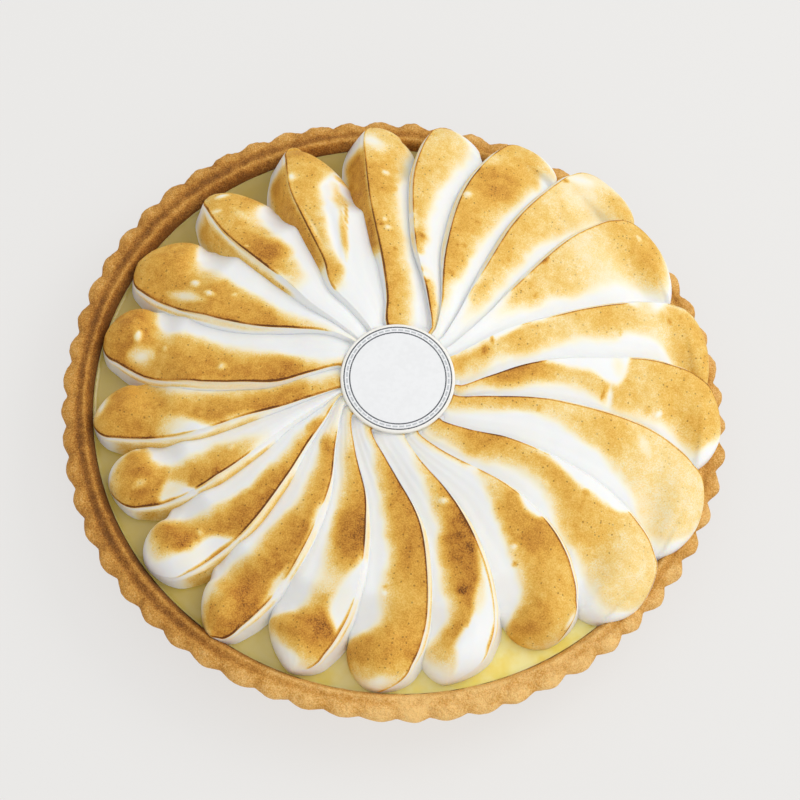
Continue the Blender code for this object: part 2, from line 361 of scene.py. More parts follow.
class Effects:
    """The shader groups that several finishes share."""

    def __init__(self) -> None:
        """Builds each group once."""
        self.mottle = self._mottle()
        self.grain = self._grain()
        self.specks = self._specks()

    @staticmethod
    def _mottle() -> bpy.types.NodeTree:
        """Soft clouds in two sizes, for uneven baking and setting.

        Returns:
            The group, whose Broad and Close are bumps per metre.
        """
        inputs = {
            "Vector": ("NodeSocketVector", None),
            "Broad": ("NodeSocketFloat", 80.0),
            "Close": ("NodeSocketFloat", 320.0),
        }
        bench, given, made = shared_effect("mottle", inputs, ("Cloud",))
        where = given.outputs["Vector"]
        broad = bench.noise(where, given.outputs["Broad"], 2.0)
        close = bench.noise(where, given.outputs["Close"], 3.0)
        cloud = bench.level(bench.sum("ADD", broad, close), 0.7, 1.3)
        bench.feed(made.inputs["Cloud"], cloud)
        return bench.tree

    @staticmethod
    def _grain() -> bpy.types.NodeTree:
        """Fine even grain and its height, for crumb, browned skin and sugar.

        Returns:
            The group, whose Fine and Coarse are bumps per metre.
        """
        inputs = {
            "Vector": ("NodeSocketVector", None),
            "Fine": ("NodeSocketFloat", 1600.0),
            "Coarse": ("NodeSocketFloat", 600.0),
        }
        bench, given, made = shared_effect("grain", inputs, ("Grain", "Height"))
        where = given.outputs["Vector"]
        fine = bench.noise(where, given.outputs["Fine"], 2.0, 0.6)
        coarse = bench.noise(where, given.outputs["Coarse"], 2.0, 0.55)
        bench.feed(made.inputs["Grain"], bench.level(fine, 0.3, 0.7))
        height = bench.sum("ADD", bench.sum("MULTIPLY", fine, 0.4), bench.sum("MULTIPLY", coarse, 0.6))
        bench.feed(made.inputs["Height"], height)
        return bench.tree

    @staticmethod
    def _specks() -> bpy.types.NodeTree:
        """Scattered small round specks.

        Returns:
            The group. Cells is cells per metre, Amount is the share of them that hold a speck,
            and Width is a speck's radius as a share of a cell.
        """
        inputs = {
            "Vector": ("NodeSocketVector", None),
            "Cells": ("NodeSocketFloat", 500.0),
            "Amount": ("NodeSocketFloat", 0.2),
            "Width": ("NodeSocketFloat", 0.25),
        }
        bench, given, made = shared_effect("specks", inputs, ("Speck",))
        cell = bench.tree.nodes.new("ShaderNodeTexVoronoi")
        bench.feed(cell.inputs["Vector"], given.outputs["Vector"])
        bench.feed(cell.inputs["Scale"], given.outputs["Cells"])
        shade = bench.add("SeparateColor", 0, {0: cell.outputs["Color"]})
        chosen = bench.sum("LESS_THAN", shade, given.outputs["Amount"])
        near = bench.sum("LESS_THAN", cell.outputs["Distance"], given.outputs["Width"])
        bench.feed(made.inputs["Speck"], bench.sum("MULTIPLY", chosen, near))
        return bench.tree


def per_metre(size: float) -> float:
    """How many bumps of a size in millimetres there are to the metre."""
    return 1.0 / (size * MM)


def new_material(name: str, values: dict) -> tuple[bpy.types.Material, Bench, bpy.types.Node]:
    """A material with its Principled BSDF.

    Args:
        name: The material's name.
        values: Uniform values for the shader's own sockets.

    Returns:
        The material, a bench for its tree, and the shader.
    """
    material = bpy.data.materials.new(name)
    material.use_nodes = True
    shader = material.node_tree.nodes["Principled BSDF"]
    for socket, value in values.items():
        shader.inputs[socket].default_value = value
    return material, Bench(material.node_tree), shader


def raise_surface(bench: Bench, shader: bpy.types.Node, height: object, depth: float) -> None:
    """Feeds a shader's Normal from a height, where 1 stands depth millimetres high."""
    sockets = {"Height": height, "Distance": depth * MM, "Strength": 1.0}
    bench.feed(shader.inputs["Normal"], bench.add("Bump", 0, sockets))


# ---------------------------------------------------------------------------------------
# Finishes
# ---------------------------------------------------------------------------------------


@dataclass(frozen=True)
class MeringueFinish:
    """Soft white meringue, browned by a torch where its mesh's mask says; the mask also holds a painted
    shade streak along the sharp edges and a painted highlight.
    """

    scale: tuple[tuple[float, Colour], ...] = (
        (0.0, srgb(239, 240, 239)),
        (0.08, srgb(244, 238, 216)),
        (0.25, srgb(244, 217, 150)),
        (0.42, srgb(235, 194, 102)),
        (0.57, srgb(224, 172, 74)),
        (0.72, srgb(205, 148, 58)),
        (0.86, srgb(182, 120, 42)),
        (1.0, srgb(106, 62, 24)),
    )
    speck: Colour = srgb(116, 70, 28)
    clouds: float = 0.17
    grains: float = 0.2
    roughness: float = 0.5
    depth_of_light: Colour = (1.0, 0.75, 0.45)

    def material(self, effects: Effects) -> bpy.types.Material:
        """Builds the material.

        Args:
            effects: The shared effects.

        Returns:
            The material.
        """
        values = {
            "Subsurface Weight": 0.3,
            "Subsurface Radius": self.depth_of_light,
            "Subsurface Scale": 0.0015,
            "IOR": 1.4,
            "Specular IOR Level": 0.25,
        }
        material, bench, shader = new_material("torched_meringue", values)
        where = bench.add("TexCoord", "Object", {})
        toast_and_painted_light = bench.add("Attribute", "Fac", {}, attribute_name="toast_and_painted_light")
        cloud = bench.group(
            effects.mottle, "Cloud", {"Vector": where, "Broad": per_metre(9), "Close": per_metre(3.2)}
        )
        grain_inputs = {"Vector": where, "Fine": per_metre(0.5), "Coarse": per_metre(1.3)}
        grain = bench.group(effects.grain, "Grain", grain_inputs)
        height = bench.group(effects.grain, "Height", grain_inputs)
        held = bench.level(toast_and_painted_light, 0.02, 0.4)
        clouds = bench.sum("MULTIPLY", bench.sum("SUBTRACT", cloud, 0.5), self.clouds)
        grains = bench.sum("MULTIPLY", bench.sum("SUBTRACT", grain, 0.5), self.grains)
        shift = bench.sum("ADD", clouds, grains)
        browned = bench.sum("ADD", toast_and_painted_light, bench.sum("MULTIPLY", shift, held))
        colour = bench.colours(browned, self.scale)
        speck = bench.group(
            effects.specks,
            "Speck",
            {"Vector": where, "Cells": per_metre(1.5), "Amount": 0.24, "Width": 0.24},
        )
        speck = bench.sum("MULTIPLY", speck, bench.level(browned, 0.12, 0.5, 0.0, 0.7))
        colour = bench.blend(bench.sum("MULTIPLY", speck, 0.8), colour, self.speck)
        bench.feed(shader.inputs["Base Color"], colour)
        bench.feed(shader.inputs["Roughness"], bench.level(browned, 0.0, 0.6, self.roughness, 0.62))
        lift = bench.sum("MULTIPLY", height, bench.level(browned, 0.0, 0.5, 0.12, 1.0))
        raise_surface(bench, shader, lift, 0.22)
        return material


@dataclass(frozen=True)
class PastryFinish:
    """Baked shortcrust, sandy and matt, browner inside the rim and on the grooves' edges, partly from
    painted shade, and paler at the front from painted light.
    """

    pale: Colour = srgb(250, 204, 128)
    golden: Colour = srgb(213, 154, 68)
    brown: Colour = srgb(168, 109, 36)
    dark: Colour = srgb(124, 76, 22)
    crumb: Colour = srgb(236, 194, 124)

    def material(self, effects: Effects) -> bpy.types.Material:
        """Builds the material.

        Args:
            effects: The shared effects.

        Returns:
            The material.
        """
        values = {
            "Subsurface Weight": 0.08,
            "Subsurface Radius": (1.0, 0.5, 0.25),
            "Subsurface Scale": 0.0015,
            "IOR": 1.4,
        }
        material, bench, shader = new_material("shortcrust", values)
        where = bench.add("TexCoord", "Object", {})
        # The mask holds browning with painted light and shade.
        bake_and_painted_light = bench.add("Attribute", "Fac", {}, attribute_name="bake_and_painted_light")
        cloud = bench.group(
            effects.mottle, "Cloud", {"Vector": where, "Broad": per_metre(12), "Close": per_metre(3)}
        )
        grain_inputs = {"Vector": where, "Fine": per_metre(0.5), "Coarse": per_metre(1.3)}
        grain = bench.group(effects.grain, "Grain", grain_inputs)
        height = bench.group(effects.grain, "Height", grain_inputs)
        tone = bench.sum("ADD", bake_and_painted_light, bench.sum("MULTIPLY", bench.sum("SUBTRACT", cloud, 0.5), 0.2))
        tone = bench.sum("ADD", tone, bench.sum("MULTIPLY", bench.sum("SUBTRACT", grain, 0.5), 0.34))
        scale = ((0.0, self.pale), (0.4, self.golden), (0.75, self.brown), (1.0, self.dark))
        colour = bench.colours(tone, scale)
        crumb = bench.group(
            effects.specks,
            "Speck",
            {"Vector": where, "Cells": per_metre(1.0), "Amount": 0.2, "Width": 0.3},
        )
        crumb = bench.sum("MULTIPLY", crumb, bench.level(bake_and_painted_light, 0.35, 0.75, 0.4, 0.08))
        colour = bench.blend(crumb, colour, self.crumb)
        bench.feed(shader.inputs["Base Color"], colour)
        bench.feed(shader.inputs["Roughness"], bench.level(grain, 0.0, 1.0, 0.6, 0.85))
        raise_surface(bench, shader, height, 1.3)
        return material


@dataclass(frozen=True)
class FillingFinish:
    """Set lemon cream: smooth, glossy and slightly see-through."""

    pale: Colour = srgb(252, 240, 166)
    deep: Colour = srgb(246, 222, 104)
    # Olive colour of painted shade, laid on the cream where the petals shade it.
    painted_shade: Colour = srgb(172, 148, 62)

    def material(self, effects: Effects) -> bpy.types.Material:
        """Builds the material.

        Args:
            effects: The shared effects.

        Returns:
            The material.
        """
        values = {
            "Roughness": 0.2,
            "Subsurface Weight": 0.4,
            "Subsurface Radius": (1.0, 0.8, 0.3),
            "Subsurface Scale": 0.004,
            "Coat Weight": 0.4,
            "Coat Roughness": 0.08,
            "IOR": 1.4,
        }
        material, bench, shader = new_material("lemon_cream", values)
        where = bench.add("TexCoord", "Object", {})
        cloud = bench.group(
            effects.mottle, "Cloud", {"Vector": where, "Broad": per_metre(25), "Close": per_metre(6)}
        )
        # Blends in painted shade by the mesh's mask.
        painted_shade = bench.add("Attribute", "Fac", {}, attribute_name="painted_shade")
        colour = bench.blend(painted_shade, bench.blend(cloud, self.pale, self.deep), self.painted_shade)
        bench.feed(shader.inputs["Base Color"], colour)
        raise_surface(bench, shader, bench.noise(where, 7.0, 2.0), 0.12)
        return material


class PlaqueArea(Enum):
    """What each part of the plaque is, in the order of its materials."""

    BORDER = "bare sugar"
    FIELD = "printed ground"
    RING = "dark ink"
    DASH = "faint ink"


@dataclass(frozen=True)
class PlaqueFinish:
    """A smooth off-white sugar plaque, its cooler printed ground and its inks."""

    border: Colour = srgb(243, 241, 234)
    field: Colour = srgb(237, 238, 239)
    ring: Colour = srgb(56, 60, 70)
    dash: Colour = srgb(190, 193, 197)

    def material(self, area: PlaqueArea, effects: Effects) -> bpy.types.Material:
        """Builds one area's material: clouded sugar, or ink that is a little worn.

        Args:
            area: The area.
            effects: The shared effects.

        Returns:
            The material.
        """
        name = "plaque_" + area.name.lower()
        material, bench, shader = new_material(name, {"Roughness": 0.45, "IOR": 1.45})
        where = bench.add("TexCoord", "Object", {})
        if area in (PlaqueArea.BORDER, PlaqueArea.FIELD):
            under = self.border if area is PlaqueArea.BORDER else self.field
            sizes = {"Vector": where, "Broad": per_metre(6), "Close": per_metre(1.5)}
            share = bench.level(bench.group(effects.mottle, "Cloud", sizes), 0.0, 1.0, 0.0, 0.03)
            over = (0.0, 0.0, 0.0)
        else:
            under = self.ring if area is PlaqueArea.RING else self.dash
            sizes = {"Vector": where, "Fine": per_metre(0.3), "Coarse": per_metre(1.0)}
            share = bench.level(bench.group(effects.grain, "Grain", sizes), 0.7, 1.0, 0.0, 0.35)
            over = self.field
        bench.feed(shader.inputs["Base Color"], bench.blend(share, under, over))
        raise_surface(bench, shader, bench.noise(where, 0.8, 2.0), 0.02)
        return material


# ---------------------------------------------------------------------------------------
# Pastry case
# ---------------------------------------------------------------------------------------


@dataclass
class PastryCase:
    """The fluted case: a wall that leans out, scalloped rim lobes and a smooth inner band."""

    rim_radius: float
    rim_height: float
    mouth_radius: float = 109.0
    floor_radius: float = 105.0
    floor: float = 4.0
    flutes: int = 60
    groove_azimuth: float = 1.5
    flute_power: float = 1.25
    around: tuple[float, ...] = (0, 45, 90, 115, 150, 200, 235, 262, 285, 310, 335, 360)
    groove_shares: tuple[float, ...] = (1.0, 1.0, 0.8, 0.7, 0.7, 0.72, 0.65, 0.55, 0.6, 0.75, 1.0, 1.0)
    # Paler at the front and browner at the left and back: painted light and painted shade by side.
    painted_light_by_side: tuple[float, ...] = (0.15, 0.2, 0.1, -0.05, -0.08, -0.12, -0.1, 0.4, 0.75, 0.65, 0.3, 0.15)
    # Extra browning of the inner band, most at the left and front left: painted shade.
    band: tuple[float, ...] = (0.0, 0.0, 0.03, 0.08, 0.1, 0.14, 0.14, 0.02, 0.0, 0.0, 0.0, 0.0)
    bulge_azimuths: tuple[float, ...] = (
        0, 20, 38, 60, 88, 112, 135, 155, 175, 198, 222, 246, 268, 288, 305, 330, 360
    )
    bulges: tuple[float, ...] = (
        0, -0.7, -1.3, -0.8, -0.9, -0.1, 1.2, 0.9, -0.7, -0.4, 0.4, -0.4, -1.2, -0.7, -1.4, -1.2, 0
    )
    chip_depth: float = 0.7
    flute_wander: Layers = ((0.45, 16.0, 3), (0.25, 7.0, 4))
    groove_change: Layers = ((0.3, 13.0, 5),)
    rim_wander: Layers = ((0.2, 30.0, 6),)
    rim_waves: Layers = ((0.3, 40.0, 7),)
    baking_change: Layers = ((0.1, 22.0, 12),)
    crown_height: float = 0.4
    rough_spread: float = 0.6
    points_per_flute: int = 20
    rows: int = 70

    def profile(self) -> tuple[Array, ...]:
        """The section from the base's outer edge over the rim to the floor.

        Returns:
            Radius, height, depth of the grooves and browning at each row, the browning partly painted
            shade on the inner wall.
        """
        rim, top = self.rim_radius, self.rim_height
        # Each place's radius, height, groove depth and browning; the browning down the inner wall is
        # partly baking and partly painted shade in the recess above the filling.
        points = (
            (rim - 8.6, 0.0, 1.6, 0.75),
            (rim - 7.9, 0.9, 1.9, 0.7),
            (rim - 4.4, top * 0.42, 2.4, 0.6),
            (rim - 0.9, top - 4.2, 2.8, 0.5),
            (rim - 0.1, top - 2.6, 2.7, 0.42),
            (rim - 0.7, top - 1.0, 2.5, 0.38),
            (rim - 2.5, top - 0.2, 1.9, 0.4),
            (rim - 4.6, top - 0.1, 0.8, 0.46),
            (rim - 6.2, top - 0.6, 0.2, 0.66),
            (rim - 7.6, top - 0.3, 0.0, 0.62),
            (rim - 8.9, top - 0.1, 0.0, 0.36),
            (rim - 9.9, top - 0.9, 0.0, 0.6),
            (rim - 11.0, top - 2.6, 0.0, 0.78),
            (self.mouth_radius, top - 5.0, 0.0, 0.9),
            (self.mouth_radius - 2.0, top * 0.4, 0.0, 0.7),
            (self.floor_radius, self.floor, 0.0, 0.6),
        )
        columns = np.array(points).T
        steps = np.hypot(np.diff(columns[0]), np.diff(columns[1]))
        along = np.r_[0.0, np.cumsum(np.sqrt(steps))]
        at = np.linspace(0.0, along[-1], self.rows)
        return tuple(smooth_curve(tuple(along), tuple(column), at) for column in columns)

    def top_height(self, radius: Array) -> Array:
        """Height of the case's top under a petal that lies across the rim."""
        rim, top = self.rim_radius, self.rim_height
        radii = (self.mouth_radius, rim - 10.6, rim - 9.0, rim - 3.0, rim)
        return np.interp(radius, radii, (top - 5.2, top - 1.2, top - 0.3, top - 0.3, top - 1.6))

    def build(self, material: bpy.types.Material) -> bpy.types.Object:
        """Makes the case, with its flutes a little uneven and its surface crumbly.

        Args:
            material: The shortcrust's finish.

        Returns:
            The piece.
        """
        radius, height, groove, bake_and_painted_light = (column[:, None] for column in self.profile())
        count = self.flutes * self.points_per_flute
        azimuth = np.arange(count)[None, :] * 360.0 / count + self.groove_azimuth
        here = azimuth % 360.0
        ring = polar(self.rim_radius, azimuth, 0.0)
        wander = layered_noise(ring, self.flute_wander)
        turn = (azimuth + wander - self.groove_azimuth) * self.flutes / 360.0
        lobe = np.abs(np.sin(math.pi * turn)) ** self.flute_power
        depth = groove * smooth_curve(self.around, self.groove_shares, here)
        depth = depth * (1.0 + layered_noise(ring, self.groove_change))
        out = radius - depth * (1.0 - lobe) + layered_noise(ring, self.rim_wander)
        bulge = smooth_curve(self.bulge_azimuths, self.bulges, here)
        out = out + bulge * ramp(radius, self.mouth_radius, self.rim_radius - 4.0)
        crown = ramp(radius, self.rim_radius - 6.5, self.rim_radius - 3.0) * ramp(height, 18.0, 24.0)
        waves = layered_noise(ring, self.rim_waves) * height / self.rim_height
        up = height + crown * self.crown_height * (lobe - 0.6) + waves
        points = polar(out, azimuth, up)

        rough = 0.36 * cloud_noise(points, 3.4, 8, 2) + 0.22 * value_noise(points, 1.4, 10)
        chips = ramp(value_noise(points, 5.0, 14), 0.35, 0.75) * crown
        rough = (rough - self.chip_depth * chips) * ramp(height, 1.0, 3.0)
        points[..., :2] *= (1.0 + rough * self.rough_spread / out)[..., None]
        points[..., 2] += rough * ramp(height, 20.0, 24.0)

        banded = ramp(radius, self.mouth_radius - 3.0, self.mouth_radius) * ramp(height, 17.0, 19.0)
        banded = banded * (1.0 - ramp(radius, self.rim_radius - 6.5, self.rim_radius - 4.0))
        # Painted light at the front, painted shade at the left and back.
        bake_and_painted_light = bake_and_painted_light * (1.0 - smooth_curve(self.around, self.painted_light_by_side, here))
        # Painted shade on the inner band by azimuth.
        bake_and_painted_light = bake_and_painted_light + banded * smooth_curve(self.around, self.band, here)
        # Browner in the grooves between the rim lobes, paler on their crests: painted shade.
        bake_and_painted_light = bake_and_painted_light + 0.2 * crown * (0.75 - lobe) + layered_noise(points, self.baking_change)
        masks = {"bake_and_painted_light": np.broadcast_to(bake_and_painted_light, out.shape)}
        return grid_piece("pastry_case", points, material, masks)


# ---------------------------------------------------------------------------------------
# Lemon filling
# ---------------------------------------------------------------------------------------


@dataclass
class LemonFilling:
    """The set filling, level but for faint waves and where it clings to the case."""

    radius: float
    level: float
    bottom: float
    floor_radius: float = 104.7
    spokes: int = 480
    cling: float = 0.55
    cling_reach: float = 0.9
    waves: Layers = ((0.14, 24.0, 21), (0.05, 8.0, 22))
    sharp_angle: float = 50.0
    # How much painted shade darkens the cream at each azimuth, most on the left and back.
    around: tuple[float, ...] = (0, 60, 105, 140, 200, 240, 275, 300, 360)
    painted_shade_by_azimuth: tuple[float, ...] = (0.1, 0.1, 0.95, 0.9, 0.85, 0.8, 0.3, 0.0, 0.1)

    def build(self, material: bpy.types.Material) -> bpy.types.Object:
        """Makes the filling.

        Args:
            material: The lemon cream's finish.

        Returns:
            The piece.
        """
        top = np.r_[2.0, 30.0, 60.0, np.linspace(78.0, self.radius - 3.0, 26)]
        top = np.r_[top, np.linspace(self.radius - 2.6, self.radius + 0.35, 9)]
        radii = np.r_[2.0, self.floor_radius, top[::-1]][:, None]
        azimuth = np.arange(self.spokes)[None, :] * 360.0 / self.spokes
        points = polar(radii, azimuth, self.level)
        climb = self.cling * np.exp(-np.maximum(self.radius - radii, 0.0) / self.cling_reach)
        points[..., 2] += climb + layered_noise(points, self.waves)
        points[:2, :, 2] = self.bottom
        # Painted shade by azimuth, kept on the mesh.
        painted_shade = smooth_curve(self.around, self.painted_shade_by_azimuth, azimuth)
        painted_shade = np.broadcast_to(painted_shade, points.shape[:2])
        filling = grid_piece("lemon_filling", points, material, {"painted_shade": painted_shade})
        filling.data.set_sharp_from_angle(angle=math.radians(self.sharp_angle))
        return filling


# ---------------------------------------------------------------------------------------
# Meringue rosette
# ---------------------------------------------------------------------------------------


@dataclass(frozen=True)
class Mark:
    """A soft streak or spot on a petal, from one place to another, that takes a browning.

    Places are a share across the petal, from its clockwise side to its edge, and a radius.
    """

    across: float
    radius: float
    end_across: float
    end_radius: float
    half_width: float
    brown: float
    bump: float = 0.0

    def weight(self, across: Array, radius: Array, width: float, ragged: Array) -> Array:
        """How strongly the mark shows. A long mark thins out and fades towards its ends.

        Args:
            across: Shares across the petal of the places to read.
            radius: Their radii.
            width: The petal's width at the mark.
            ragged: How far the mark's outline is frayed at each place.

        Returns:
            The mark's share at each place.
        """
        run, rise = (self.end_across - self.across) * width, self.end_radius - self.radius
        aside, out = (across - self.across) * width, radius - self.radius
        length = math.hypot(run, rise)
        part = np.clip((aside * run + out * rise) / max(length * length, 1e-6), 0.0, 1.0)
        gap = np.hypot(aside - part * run, out - part * rise)
        gap = np.maximum(gap + 0.35 * min(self.half_width, 1.5) * ragged, 0.0)
        fade = min(1.0, length / (8.0 * self.half_width)) * np.abs(2.0 * part - 1.0) ** 2
        reach = self.half_width * (1.0 - 0.7 * fade)
        return (1.0 - ramp(gap, 0.05 * reach, 1.9 * reach)) * (1.0 - 0.8 * fade)


@dataclass(frozen=True)
class Petal:
    """One piped petal. Its sharp edge is on the counter-clockwise side, over a wall.

    tip, start and edge are azimuths. The clockwise side comes out from under the neighbour at
    start and the notch's radius, and rounds to the tip, the more bluntly the greater its
    fullness. Towards the tip the edge rolls over to its share of the height, lip_height. The
    edge passes through one azimuth at each of the rosette's edge radii and through edge_end
    near the tip. At each of the brown radii the browning runs from one share across the petal
    to another, and is this strong.
    """

    tip: float
    reach: float
    start: float
    notch: float
    fullness: float
    lip_height: float
    edge: tuple[float, ...]
    edge_end: float
    brown_from: tuple[float, ...]
    brown_to: tuple[float, ...]
    brown: tuple[float, ...]
    marks: tuple[Mark, ...] = ()
    wall_slope: float = 0.25
    wall_brown: float = 0.0
    # How much darker the streak along the sharp edge is: browning with painted shade.
    lip: float = 0.2

    def turned(self, angle: float) -> Petal:
        """The same outline further round the rosette."""
        edge = tuple(azimuth + angle for azimuth in self.edge)
        start, end = self.start + angle, self.edge_end + angle
        return replace(self, tip=self.tip + angle, start=start, edge=edge, edge_end=end)
